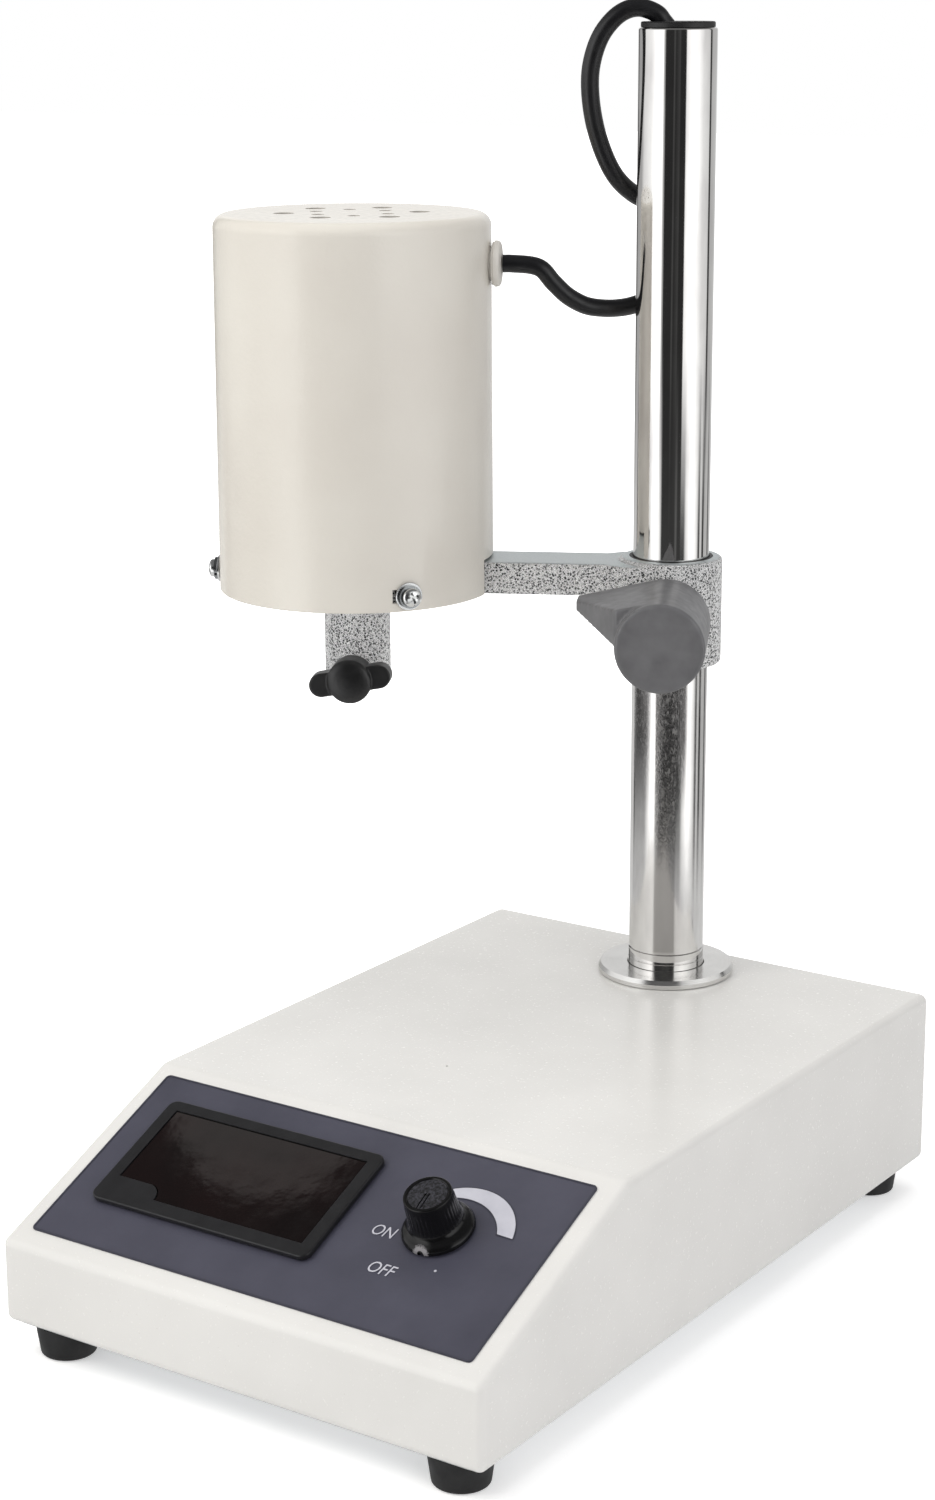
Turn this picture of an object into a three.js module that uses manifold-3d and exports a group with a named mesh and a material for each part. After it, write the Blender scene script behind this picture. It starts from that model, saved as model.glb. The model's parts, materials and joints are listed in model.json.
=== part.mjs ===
// Laboratory homogenizer: a sloped control base, a column, and a motor head clamped to it.
// Lengths are in millimetres and Z is up. The pieces are drawn from the middle of the base plate's
// underside, and the whole is then moved so that it stands on the origin, under its middle.
import * as THREE from "three";
import { mergeVertices } from "three/addons/utils/BufferGeometryUtils.js";
import Module from "manifold-3d";

// Clearances and shared values
const gap = 0.3; // between two pieces that sit face to face
const thinGap = 0.1; // under labels and between stacked flat pieces
const slip = 0.2; // round a shaft, stud or bush, on the radius
const overrun = 2; // how far a cutting shape runs past the face that it cuts
const turn = Math.PI * 2;
const quarter = Math.PI / 2;
const sidesFor = (radius) => 4 * Math.round(0.5 + 1.3 * Math.sqrt(radius));
const degree = Math.PI / 180;

// Driving sizes of each piece
const base = {
  width: 171,
  depth: 265.5,
  height: 58.3,
  frontHeight: 25.9,
  slopeRun: 74.8,
  wall: 1.6,
  bendRadius: 4,
  edgeRadius: 2,
  tabThickness: 1.6,
  tabLength: 24,
  tabWidth: 22,
};
const plate = { thickness: 1.5, slotLength: 34, slotWidth: 3.2, slotPitch: 12, slotCount: 3, slotsY: 52 };
const foot = {
  topRadius: 9.65,
  bottomRadius: 8.4,
  height: 10.2,
  edgeRadius: 1,
  recessRadius: 4.4,
  recessDepth: 4.6,
  insetX: 14.5,
  insetY: 11.5,
};
const footScrew = { headRadius: 3.7, headHeight: 2.4, radius: 1.9, length: 13 };
const label = {
  leftInset: 6.5,
  rightInset: 7.5,
  height: 69.8,
  thickness: 0.4,
  bottom: 6.7,
  cornerRadius: 1.5,
};
const bezel = { width: 80.6, height: 43.4, thickness: 2, inset: 17.2, s: 44.2, cornerRadius: 3, edge: 0.5 };
const windowPane = {
  width: 71.4,
  height: 34.3,
  thickness: 1.4,
  recess: 0.3,
  offCentre: 0.1,
  s: 44.6,
  notchWidth: 12,
  notchCurve: 5,
  notchHeight: 5.3,
  cornerRadius: 0.8,
};
const module = {
  width: 75,
  height: 38.4,
  depth: 20,
  digitWidth: 12,
  digitHeight: 19,
  digitRise: 0.6,
  digitPitch: 15,
};
const moduleCutout = { width: 76, height: 39.4 };
const pot = {
  inset: 43.1,
  s: 46.5,
  bodyRadius: 8.3,
  bodyDepth: 9.5,
  bushingRadius: 4.6,
  bushingHeight: 3.1,
  pinLength: 5,
  pinWidth: 1.2,
  pinPitch: 5,
};
const potNut = { acrossFlats: 12, thickness: 2 };
const potShaft = { radius: 3, top: 12.5, bottomInset: 1.2 };
const speedKnob = {
  skirtRadius: 10.4,
  skirtHeight: 2.6,
  skirtRise: 1.4,
  waistRadius: 8.1,
  topRadius: 6.9,
  height: 15.2,
  edge: 0.7,
  flutes: 18,
  fluteDepth: 0.45,
  boreTop: 13,
  nutRoomRadius: 7.2,
  nutRoomHeight: 3,
  pointerWidth: 0.9,
  pointerLength: 5.6,
  pointerDepth: 0.4,
  pointerAngle: 222 * degree,
};
const inlet = {
  inset: 45.5,
  z: 26,
  flangeWidth: 31,
  flangeHeight: 24,
  flangeThickness: 2.6,
  bodyWidth: 27.6,
  bodyHeight: 19.8,
  bodyDepth: 20,
  wall: 1.5,
  cavityDepth: 17,
  cornerCut: 4,
  bladeWidth: 2,
  bladeHeight: 4,
  bladeLength: 13,
  bladeSpread: 7,
  bladeLift: 2,
};
const fuse = {
  inset: 10.2,
  z: 48.4,
  bodyRadius: 5.6,
  bodyLength: 30,
  flangeRadius: 6.7,
  flangeThickness: 1.6,
  capRadius: 6,
  capLength: 5.8,
  capEdge: 0.9,
  slotWidth: 1.2,
  slotDepth: 1.4,
  slotLength: 8,
};
const board = {
  inset: 9.5,
  y: 18,
  width: 116,
  depth: 78,
  thickness: 1.6,
  standoffHeight: 6,
  standoffRadius: 3,
  standoffInset: 6,
  capacitorRadius: 9,
  capacitorHeight: 26,
  chokeRadius: 11,
  chokeHeight: 12,
  transformerSide: 26,
  transformerHeight: 22,
  terminalLength: 36,
  terminalDepth: 9,
  terminalHeight: 11,
};
const heatSink = { width: 52, depth: 22, height: 26, foot: 3, fins: 7, finThickness: 1.6, x: 22, y: 34 };
const column = {
  inset: 27.25,
  radius: 12.5,
  wall: 1.5,
  top: 369.95,
  bottom: 42,
  topChamfer: 0.8,
};
const flange = { radius: 22.8, thickness: 3, bevel: 1.1 };
const columnNut = { acrossFlats: 36, thickness: 7 };
const columnCap = {
  radius: 11.75,
  thickness: 1.7,
  plugLength: 9,
  edge: 0.4,
  holeLean: 50 * degree,
  holeDepth: 4.6,
};
const bush = { wall: 0.8 };
const head = { angle: 207.5 * degree, reach: 104.5 };
const clampRing = { bottom: 166, top: 201.5, wall: 3.15, edge: 1.6 };
const clampBoss = { radius: 8.6, reach: 21 };
const arm = { bottom: 189.3, top: 200, width: 21, edge: 0.8, flare: 6 };
const motorPlate = {
  radius: 43.6,
  bottom: 189.9,
  top: 199.5,
  slotInner: 24.5,
  slotOuter: 31,
  slotHalfAngle: 24 * degree,
  tappedRadius: 1.95,
  tappedDepth: 12,
};
const boss = { radius: 11, bottom: 157, boreRadius: 6.25, fillet: 3, edge: 0.5 };
const post = { radius: 4, circle: 35, holeRadius: 2.2 };
const cover = {
  radius: 45.5,
  topRadius: 45.1,
  bottom: 189.2,
  top: 312,
  wall: 1.5,
  edgeRadius: 4,
  slotHeight: 4.4,
  slotBefore: 6.6 * degree,
  slotAfter: 3 * degree,
  notchSide: 0.9,
  notchTop: 0.9,
};
const vents = {
  innerCircle: 13,
  innerRadius: 2.1,
  innerStart: 42 * degree,
  outerCircle: 22,
  outerRadius: 3.4,
  outerStart: 12 * degree,
  count: 6,
};
const coverScrew = {
  z: 194.3,
  count: 3,
  radius: 1.75,
  length: 9,
  headRadius: 3.7,
  headHeight: 2.4,
  crossLength: 3.8,
  crossWidth: 0.8,
  crossDepth: 1,
};
const flatWasher = { radius: 4.5, thickness: 0.8, bore: 2.2 };
const springWasher = { radius: 3.6, thickness: 1.1, bore: 2.1, split: 0.9, splitAngle: 60 * degree };
const grommet = {
  z: 296,
  radius: 7.4,
  rise: 3.3,
  domeShare: 0.62,
  neckRadius: 5.2,
  backRadius: 6.4,
  backThickness: 1.6,
  backRoom: 1.3,
  grooveDepth: 0.5,
  grooveWidth: 0.6,
};
const lead = { radius: 2.9, room: 0.5, sides: 8, steps: 42 };
const clampKnob = {
  z: 184,
  radius: 14.2,
  rear: 22,
  front: 64,
  edge: 1,
  finReach: 28.7,
  finTipLow: 4.6,
  finTipHigh: 8,
  finRootLow: -0.5,
  finTangent: 104 * degree,
  finTipDepth: 8,
  finRootDepth: 38,
  boreDepth: 20,
};
const clampStud = { radius: 4 };
const wingKnob = {
  z: 162,
  hubRadius: 7.4,
  rear: 11.4,
  hubLength: 10.4,
  dome: 1.8,
  span: 13.3,
  wingHeight: 8,
  wingStart: 1.6,
  wingDepth: 6.2,
  tilt: 7.5 * degree,
  boreDepth: 7,
};
const wingStud = { radius: 2.5 };
const motor = {
  shaftRadius: 4,
  journalRadius: 3,
  shaftBottom: 184,
  journalBottom: 289.5,
  shaftTop: 301,
  stackBottom: 225,
  stackTop: 265,
};
const lowerBearing = { radius: 11, height: 7, bore: 4 };
const upperBearing = { radius: 9.5, height: 6, bore: 3 };
const coupling = { radius: 5.4, bottom: 177, top: 191.6, slotWidth: 2.6, slotDepth: 4 };
const fan = {
  radius: 28,
  hubRadius: 7.5,
  bottom: 203,
  discThickness: 1.4,
  height: 10,
  blades: 8,
  bladeThickness: 1.3,
};
const armature = {
  radius: 21,
  slots: 12,
  slotWidth: 2.6,
  slotDepth: 2,
  windingRadius: 18.6,
  windingHeight: 7.5,
};
const commutator = { radius: 11, bottom: 274, top: 287.4, grooves: 12, grooveWidth: 0.7, grooveDepth: 0.8 };
const stator = {
  radius: 39,
  yokeInner: 31,
  poleHalfWidth: 12,
  shoeInner: 21.5,
  shoeOuter: 25.3,
  shoeHalfAngle: 56 * degree,
};
const coil = { inner: 25.6, outer: 30.6, halfAngle: 52 * degree, overhang: 10 };
const endBracket = {
  armWidth: 9,
  armBottom: 290.5,
  armTop: 296,
  hubRadius: 24,
  hubBottom: 288,
  hubTop: 291,
  cupRadius: 12.6,
  cupTop: 298.5,
  boreRadius: 5,
};
const motorBolt = { radius: 2, headRadius: 3.5, headHeight: 2.8, bottom: 208 };
const brush = { width: 7.5, height: 9, inner: 11.6, outer: 30 };

// Places worked out from the sizes
const slopeAngle = Math.atan2(base.height - base.frontHeight, base.slopeRun);
const footX = base.width / 2 - foot.insetX;
const footY = base.depth / 2 - foot.insetY;
const ringInner = column.radius + slip + bush.wall + slip;
const ringOuter = ringInner + clampRing.wall;
const bushOuter = column.radius + slip + bush.wall;
const labelTop = thinGap + label.thickness;
const bezelBottom = labelTop + thinGap;
const bezelTop = bezelBottom + bezel.thickness;
const windowTop = bezelTop - windowPane.recess;
const windowBottom = windowTop - windowPane.thickness;
const labelWidth = base.width - label.leftInset - label.rightInset;
const labelX = (label.leftInset - label.rightInset) / 2;
const bezelX = -base.width / 2 + bezel.inset + bezel.width / 2;
const paneX = bezelX - windowPane.offCentre;
const potX = base.width / 2 - pot.inset;
const inletX = base.width / 2 - inlet.inset;
const fuseX = base.width / 2 - fuse.inset;
const boardX = -base.width / 2 + board.inset + board.width / 2;
const columnY = base.depth / 2 - column.inset;
const screwAngles = [0, 1, 2].map((i) => (i * turn) / coverScrew.count);

// Materials
const paint = (color, roughness, metalness = 0) =>
  new THREE.MeshStandardMaterial({ color, roughness, metalness });
const materials = {
  caseWhite: paint(0xe3e2df, 0.55),
  coverIvory: paint(0xdedacf, 0.45),
  steel: paint(0xb8babc, 0.35, 0.9),
  chrome: paint(0xd6d8da, 0.08, 1),
  hammertone: paint(0xa9adb0, 0.4, 0.8),
  rubber: paint(0x1b1b1c, 0.85),
  blackPlastic: paint(0x18181a, 0.45),
  greyPlastic: paint(0x6e6e70, 0.6),
  slate: paint(0x53535e, 0.5),
  smoked: paint(0x2c1416, 0.15),
  palePlastic: paint(0xd2cfc9, 0.5),
  copper: paint(0xa8542c, 0.4, 0.8),
  lamination: paint(0x6b6d70, 0.5, 0.7),
  circuit: paint(0x2f5a3c, 0.6),
  aluminium: paint(0xb9bcc0, 0.45, 0.9),
};

// Turning geometries into solids and back
const wasm = await Module();
wasm.setup();

function welded(geometry) {
  const plain = geometry.index ? geometry.toNonIndexed() : geometry.clone();
  plain.deleteAttribute("normal");
  plain.deleteAttribute("uv");
  const merged = mergeVertices(plain, 1e-4);
  const corners = merged.index.array;
  const kept = [];
  for (let i = 0; i < corners.length; i += 3) {
    const [a, b, c] = [corners[i], corners[i + 1], corners[i + 2]];
    if (a !== b && b !== c && c !== a) kept.push(a, b, c);
  }
  merged.setIndex(kept);
  return merged;
}

function signedVolume(geometry) {
  const point = geometry.getAttribute("position");
  const [a, b, c] = [new THREE.Vector3(), new THREE.Vector3(), new THREE.Vector3()];
  let sum = 0;
  for (let i = 0; i < geometry.index.count; i += 3) {
    a.fromBufferAttribute(point, geometry.index.array[i]);
    b.fromBufferAttribute(point, geometry.index.array[i + 1]);
    c.fromBufferAttribute(point, geometry.index.array[i + 2]);
    sum += a.dot(b.cross(c));
  }
  return sum;
}

function facingOut(geometry) {
  const shape = welded(geometry);
  if (signedVolume(shape) < 0) {
    const corners = [...shape.index.array];
    for (let i = 0; i < corners.length; i += 3) {
      [corners[i + 1], corners[i + 2]] = [corners[i + 2], corners[i + 1]];
    }
    shape.setIndex(corners);
  }
  return shape;
}

function solidOf(geometry) {
  const shape = facingOut(geometry);
  return new wasm.Manifold(
    new wasm.Mesh({
      numProp: 3,
      vertProperties: new Float32Array(shape.getAttribute("position").array),
      triVerts: new Uint32Array(shape.index.array),
    }),
  );
}

function geometryOf(solid) {
  const mesh = solid.getMesh();
  const points = new Float32Array((mesh.vertProperties.length / mesh.numProp) * 3);
  for (let i = 0; i < points.length / 3; i++) {
    for (let k = 0; k < 3; k++) points[i * 3 + k] = mesh.vertProperties[i * mesh.numProp + k];
  }
  const geometry = new THREE.BufferGeometry();
  geometry.setAttribute("position", new THREE.BufferAttribute(points, 3));
  geometry.setIndex([...mesh.triVerts]);
  return geometry;
}

const combined = (how) => (first, ...others) =>
  geometryOf(others.reduce((body, other) => body[how](solidOf(other)), solidOf(first)));
const join = combined("add");
const cut = combined("subtract");
const common = combined("intersect");

// Basic forms
function revolve(profile, steps = sidesFor(Math.max(...profile.map(([radius]) => radius)))) {
  const [first, last] = [profile[0], profile[profile.length - 1]];
  const onAxis = first[0] === 0 && last[0] === 0;
  const outline = onAxis ? profile : [...profile, first];
  const points = outline.map(([radius, height]) => new THREE.Vector2(radius, height));
  return facingOut(new THREE.LatheGeometry(points, steps).rotateX(quarter));
}

function prism(shape, low, high, curveSegments = 4) {
  const settings = { depth: high - low, bevelEnabled: false, curveSegments };
  return new THREE.ExtrudeGeometry(shape, settings).translate(0, 0, low);
}

function softPrism(shape, low, high, edge, curveSegments = 4, bevelSegments = 1) {
  const settings = { depth: high - low - 2 * edge, curveSegments, bevelSegments };
  Object.assign(settings, { bevelThickness: edge, bevelSize: edge, bevelOffset: -edge });
  return new THREE.ExtrudeGeometry(shape, settings).translate(0, 0, low + edge);
}

function block(left, right, front, back, low, high) {
  const size = new THREE.BoxGeometry(right - left, back - front, high - low);
  return size.translate((left + right) / 2, (front + back) / 2, (low + high) / 2);
}

function rod(radius, low, high, steps = sidesFor(radius)) {
  const shape = new THREE.CylinderGeometry(radius, radius, high - low, steps);
  return shape.rotateX(quarter).translate(0, 0, (low + high) / 2);
}

function hexagon(acrossFlats) {
  const corner = acrossFlats / Math.sqrt(3);
  const middle = new THREE.Vector2();
  const points = [0, 1, 2, 3, 4, 5].map((i) =>
    new THREE.Vector2(corner, 0).rotateAround(middle, (i * turn) / 6),
  );
  return new THREE.Shape(points);
}

function roundHole(radius, x = 0, y = 0) {
  const steps = sidesFor(radius);
  const points = [];
  for (let i = 0; i < steps; i++) {
    points.push(new THREE.Vector2(radius, 0).rotateAround(new THREE.Vector2(), (i * turn) / steps));
  }
  return new THREE.Path(points.map((point) => point.add(new THREE.Vector2(x, y))));
}

// A polygon whose corners are rounded; each corner is [x, y] or [x, y, its own radius].
function softOutline(corners, radius) {
  const shape = new THREE.Shape();
  corners.forEach(([x, y, own = radius], i) => {
    const at = new THREE.Vector2(x, y);
    const before = new THREE.Vector2(...corners.at(i - 1).slice(0, 2));
    const after = new THREE.Vector2(...corners[(i + 1) % corners.length].slice(0, 2));
    const start = before.sub(at).setLength(own).add(at);
    const end = after.sub(at).setLength(own).add(at);
    if (i === 0) shape.moveTo(start.x, start.y);
    else shape.lineTo(start.x, start.y);
    if (own > 0) shape.quadraticCurveTo(at.x, at.y, end.x, end.y);
  });
  shape.closePath();
  return shape;
}

function rectangle(width, height, radius, x = 0, y = 0) {
  const [left, right, low, high] = [x - width / 2, x + width / 2, y - height / 2, y + height / 2];
  return softOutline([[left, low], [right, low], [right, high], [left, high]], radius);
}

function sector(inner, outer, halfAngle) {
  const shape = new THREE.Shape();
  shape.absarc(0, 0, outer, -halfAngle, halfAngle, false);
  shape.absarc(0, 0, inner, halfAngle, -halfAngle, true);
  shape.closePath();
  return shape;
}

function arcPoints(x, y, radius, from, to, steps) {
  const points = [];
  for (let i = 0; i <= steps; i++) {
    const angle = from + ((to - from) * i) / steps;
    points.push([x + radius * Math.cos(angle), y + radius * Math.sin(angle)]);
  }
  return points;
}

// Rings of equal point counts, joined and closed at both ends
function skin(rings) {
  const count = rings[0].length;
  const points = rings.flat().flat();
  const faces = [];
  for (let ring = 0; ring < rings.length - 1; ring++) {
    for (let i = 0; i < count; i++) {
      const [a, b] = [ring * count + i, ring * count + ((i + 1) % count)];
      faces.push(a, b, b + count, a, b + count, a + count);
    }
  }
  for (const ring of [0, rings.length - 1]) {
    const middle = points.length / 3;
    const sum = rings[ring].reduce((total, point) => total.map((value, k) => value + point[k]), [0, 0, 0]);
    points.push(...sum.map((value) => value / count));
    for (let i = 0; i < count; i++) {
      const [a, b] = [ring * count + i, ring * count + ((i + 1) % count)];
      if (ring === 0) faces.push(b, a, middle);
      else faces.push(a, b, middle);
    }
  }
  const geometry = new THREE.BufferGeometry();
  geometry.setAttribute("position", new THREE.Float32BufferAttribute(points, 3));
  geometry.setIndex(faces);
  return facingOut(geometry);
}

const acrossX = new THREE.Matrix4().makeBasis(
  new THREE.Vector3(0, 1, 0),
  new THREE.Vector3(0, 0, 1),
  new THREE.Vector3(1, 0, 0),
); // takes a side outline in Y and Z, extruded along X
const onSlope = new THREE.Matrix4()
  .makeRotationX(slopeAngle)
  .setPosition(0, -base.depth / 2, base.frontHeight);

// Groups
const homogenizer = new THREE.Group();

function add(group, name, geometry, material) {
  const shape = geometry.index ? geometry.toNonIndexed() : geometry;
  shape.computeVertexNormals();
  const mesh = new THREE.Mesh(shape, material);
  mesh.name = name;
  group.add(mesh);
}

function place(parent, x, y, z) {
  const group = new THREE.Group();
  group.position.set(x, y, z);
  parent.add(group);
  return group;
}

const slope = place(homogenizer, 0, -base.depth / 2, base.frontHeight);
slope.rotation.x = slopeAngle;
const back = place(homogenizer, 0, base.depth / 2, 0);
const columnAxis = place(homogenizer, 0, columnY, 0);
const headGroup = place(homogenizer, 0, columnY, 0);
headGroup.rotation.z = head.angle;
const motorGroup = place(headGroup, head.reach, 0, 0);
const clampKnobGroup = place(headGroup, 0, 0, clampKnob.z);
const wingKnobGroup = place(motorGroup, 0, 0, wingKnob.z);
// In the two knob groups Z runs out of the head, Y is up and X points from the motor to the column.
for (const group of [clampKnobGroup, wingKnobGroup]) group.rotation.set(-quarter, 0, Math.PI);

// Base case
function caseOutline() {
  const [front, rear] = [-base.depth / 2, base.depth / 2];
  return softOutline(
    [
      [front, 0],
      [rear, 0],
      [rear, base.height],
      [front + base.slopeRun, base.height],
      [front, base.frontHeight],
    ],
    base.bendRadius,
  );
}

function caseHollow() {
  const [front, rear] = [-base.depth / 2 + base.wall, base.depth / 2 - base.wall];
  const ceiling = base.height - base.wall;
  const drop = base.wall / Math.cos(slopeAngle);
  const rise = Math.tan(slopeAngle);
  const frontTop = base.frontHeight + base.wall * rise - drop;
  const slopeEnd = -base.depth / 2 + (ceiling - base.frontHeight + drop) / rise;
  const half = base.width / 2 - base.wall;
  const outline = softOutline(
    [
      [front, -overrun, 0],
      [rear, -overrun, 0],
      [rear, ceiling],
      [slopeEnd, ceiling],
      [front, frontTop],
    ],
    base.bendRadius - base.wall,
  );
  return prism(outline, -half, half).applyMatrix4(acrossX);
}

function cornerTab(sideX, sideY) {
  const low = plate.thickness + thinGap;
  const high = low + base.tabThickness;
  const [outerX, outerY] = [base.width / 2 - base.wall / 2, base.depth / 2 - base.wall / 2];
  const tab = block(outerX - base.tabWidth, outerX, outerY - base.tabLength, outerY, low, high);
  return tab.scale(sideX, sideY, 1);
}

const slopeHole = (shape) => prism(shape, -base.wall - overrun, overrun).applyMatrix4(onSlope);
const corners = [
  ["front_left", -1, -1],
  ["front_right", 1, -1],
  ["rear_left", -1, 1],
  ["rear_right", 1, 1],
];

function baseShell() {
  const half = base.width / 2;
  const outer = softPrism(caseOutline(), -half, half, base.edgeRadius, 4, 2).applyMatrix4(acrossX);
  const tabs = corners.map(([, x, y]) => cornerTab(x, y));
  const screwHoles = corners.map(([, x, y]) =>
    rod(footScrew.radius + slip, -overrun, footScrew.length).translate(x * footX, y * footY, 0),
  );
  const displayHole = slopeHole(rectangle(moduleCutout.width, moduleCutout.height, 0, bezelX, bezel.s));
  const potHole = rod(pot.bushingRadius + gap, -base.wall - overrun, overrun).translate(potX, pot.s, 0);
  const columnHole = rod(column.radius + gap, base.height - base.wall - overrun, base.height + overrun);
  const rear = base.depth / 2;
  const fuseHole = rod(fuse.bodyRadius + gap, -base.wall - overrun, overrun).rotateX(-quarter);
  const inletHole = block(
    inletX - inlet.bodyWidth / 2 - gap,
    inletX + inlet.bodyWidth / 2 + gap,
    rear - base.wall - overrun,
    rear + overrun,
    inlet.z - inlet.bodyHeight / 2 - gap,
    inlet.z + inlet.bodyHeight / 2 + gap,
  );
  return cut(
    join(cut(outer, caseHollow()), ...tabs),
    ...screwHoles,
    displayHole,
    potHole.applyMatrix4(onSlope),
    columnHole.translate(0, columnY, 0),
    fuseHole.translate(fuseX, rear, fuse.z),
    inletHole,
  );
}

function basePlate() {
  const [width, depth] = [base.width - 2 * base.wall - 2 * gap, base.depth - 2 * base.wall - 2 * gap];
  const sheet = prism(rectangle(width, depth, base.bendRadius), 0, plate.thickness);
  const standoffX = board.width / 2 - board.standoffInset;
  const standoffY = board.depth / 2 - board.standoffInset;
  const standoffs = corners.map(([, x, y]) =>
    rod(board.standoffRadius, plate.thickness / 2, plate.thickness + board.standoffHeight).translate(
      boardX + x * standoffX,
      board.y + y * standoffY,
      0,
    ),
  );
  const holes = corners.map(([, x, y]) =>
    rod(footScrew.radius + slip, -overrun, plate.thickness + overrun).translate(x * footX, y * footY, 0),
  );
  const slots = [];
  for (let i = 0; i < plate.slotCount; i++) {
    const y = -plate.slotsY - i * plate.slotPitch;
    for (const side of [-1, 1]) {
      const x = side * plate.slotLength;
      const slot = rectangle(plate.slotLength, plate.slotWidth, plate.slotWidth / 2, x, y);
      slots.push(prism(slot, -overrun, plate.thickness + overrun, 2));
    }
  }
  return cut(join(sheet, ...standoffs), ...holes, ...slots);
}

function rubberFoot() {
  const low = -foot.height;
  const floor = low + foot.recessDepth;
  return revolve(
    [
      [footScrew.radius + slip, floor],
      [foot.recessRadius, floor],
      [foot.recessRadius, low],
      [foot.bottomRadius - foot.edgeRadius, low],
      [foot.bottomRadius, low + foot.edgeRadius],
      [foot.topRadius, 0],
      [footScrew.radius + slip, 0],
    ],
  );
}

function panHead(screw, underside) {
  const top = underside + screw.headHeight;
  return [
    [screw.radius, underside],
    [screw.headRadius, underside],
    [screw.headRadius, underside + screw.headHeight / 2],
    [screw.headRadius - screw.headHeight / 3, top],
    [0, top],
  ];
}

// The screw points up: its head is below, inside the foot's recess.
function footScrewShape() {
  const seatHeight = foot.recessDepth - foot.height;
  const profile = panHead(footScrew, 0).map(([radius, height]) => [radius, -height]);
  return revolve([[0, footScrew.length], [footScrew.radius, footScrew.length], ...profile], 16).translate(
    0,
    0,
    seatHeight - thinGap,
  );
}

add(homogenizer, "base_shell", baseShell(), materials.caseWhite);
add(homogenizer, "base_plate", basePlate(), materials.steel);
for (const [name, x, y] of corners) {
  const footGroup = place(homogenizer, x * footX, y * footY, -thinGap);
  add(footGroup, `foot_${name}`, rubberFoot(), materials.rubber);
  add(footGroup, `foot_screw_${name}`, footScrewShape(), materials.steel);
}

// Control panel on the slope
function panelLabel() {
  const middle = label.bottom + label.height / 2;
  const outline = rectangle(labelWidth, label.height, label.cornerRadius, labelX, middle);
  const display = rectangle(moduleCutout.width, moduleCutout.height, 0, bezelX, bezel.s);
  outline.holes.push(display, roundHole(pot.bushingRadius + gap, potX, pot.s));
  return prism(outline, thinGap, labelTop, 3);
}

// The pane's lower left corner is stepped in with a curve.
function paneOutline(grow) {
  const halfWidth = windowPane.width / 2 + grow;
  const halfHeight = windowPane.height / 2 + grow;
  const [left, right] = [paneX - halfWidth, paneX + halfWidth];
  const [low, high] = [windowPane.s - halfHeight, windowPane.s + halfHeight];
  const stepX = left + windowPane.notchWidth;
  const stepY = low + windowPane.notchHeight;
  const shape = new THREE.Shape();
  shape.moveTo(left, stepY);
  shape.lineTo(stepX, stepY);
  shape.quadraticCurveTo(stepX + windowPane.notchCurve, stepY, stepX + windowPane.notchCurve, low);
  shape.lineTo(right, low);
  shape.lineTo(right, high);
  shape.lineTo(left, high);
  shape.closePath();
  return shape;
}

function displayBezel() {
  const frame = rectangle(bezel.width, bezel.height, bezel.cornerRadius, bezelX, bezel.s);
  const body = softPrism(frame, bezelBottom - bezel.edge, bezelTop, bezel.edge, 6);
  const underside = block(
    bezelX - bezel.width,
    bezelX + bezel.width,
    bezel.s - bezel.height,
    bezel.s + bezel.height,
    bezelBottom - overrun,
    bezelBottom,
  );
  return cut(body, underside, prism(paneOutline(slip), bezelBottom - overrun, bezelTop + overrun));
}

function displayModule() {
  const high = windowBottom - thinGap - module.digitRise;
  const [halfWidth, halfHeight] = [module.width / 2, module.height / 2];
  const body = block(
    bezelX - halfWidth,
    bezelX + halfWidth,
    bezel.s - halfHeight,
    bezel.s + halfHeight,
    high - module.depth,
    high,
  );
  const digits = [-1.5, -0.5, 0.5, 1.5].map((place) =>
    block(
      bezelX + place * module.digitPitch - module.digitWidth / 2,
      bezelX + place * module.digitPitch + module.digitWidth / 2,
      bezel.s - module.digitHeight / 2,
      bezel.s + module.digitHeight / 2,
      high - module.digitRise,
      high + module.digitRise,
    ),
  );
  return join(body, ...digits);
}

function potentiometer() {
  const behind = -base.wall - thinGap;
  const profile = [
    [0, behind - pot.bodyDepth],
    [pot.bodyRadius, behind - pot.bodyDepth],
    [pot.bodyRadius, behind],
    [pot.bushingRadius, behind],
    [pot.bushingRadius, pot.bushingHeight],
    [potShaft.radius + slip, pot.bushingHeight],
    [potShaft.radius + slip, behind - pot.bodyDepth + potShaft.bottomInset],
    [0, behind - pot.bodyDepth + potShaft.bottomInset],
  ];
  const pins = [-1, 0, 1].map((place) =>
    block(
      place * pot.pinPitch - pot.pinWidth / 2,
      place * pot.pinPitch + pot.pinWidth / 2,
      -pot.bodyRadius - pot.pinLength,
      -pot.bodyRadius / 2,
      behind - pot.bodyDepth,
      behind - pot.bodyDepth + pot.pinWidth,
    ),
  );
  return join(revolve(profile), ...pins);
}

function potNutShape() {
  const outline = hexagon(potNut.acrossFlats);
  outline.holes.push(roundHole(pot.bushingRadius + slip));
  return prism(outline, labelTop + thinGap, labelTop + thinGap + potNut.thickness);
}

function fluted(radius, height, depth) {
  const count = speedKnob.flutes * 2;
  const ring = [];
  for (let i = 0; i < count; i++) {
    const angle = (i * turn) / count;
    const flute = radius - depth * (0.5 - 0.5 * Math.cos(speedKnob.flutes * angle));
    ring.push([flute * Math.cos(angle), flute * Math.sin(angle), height]);
  }
  return ring;
}

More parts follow.
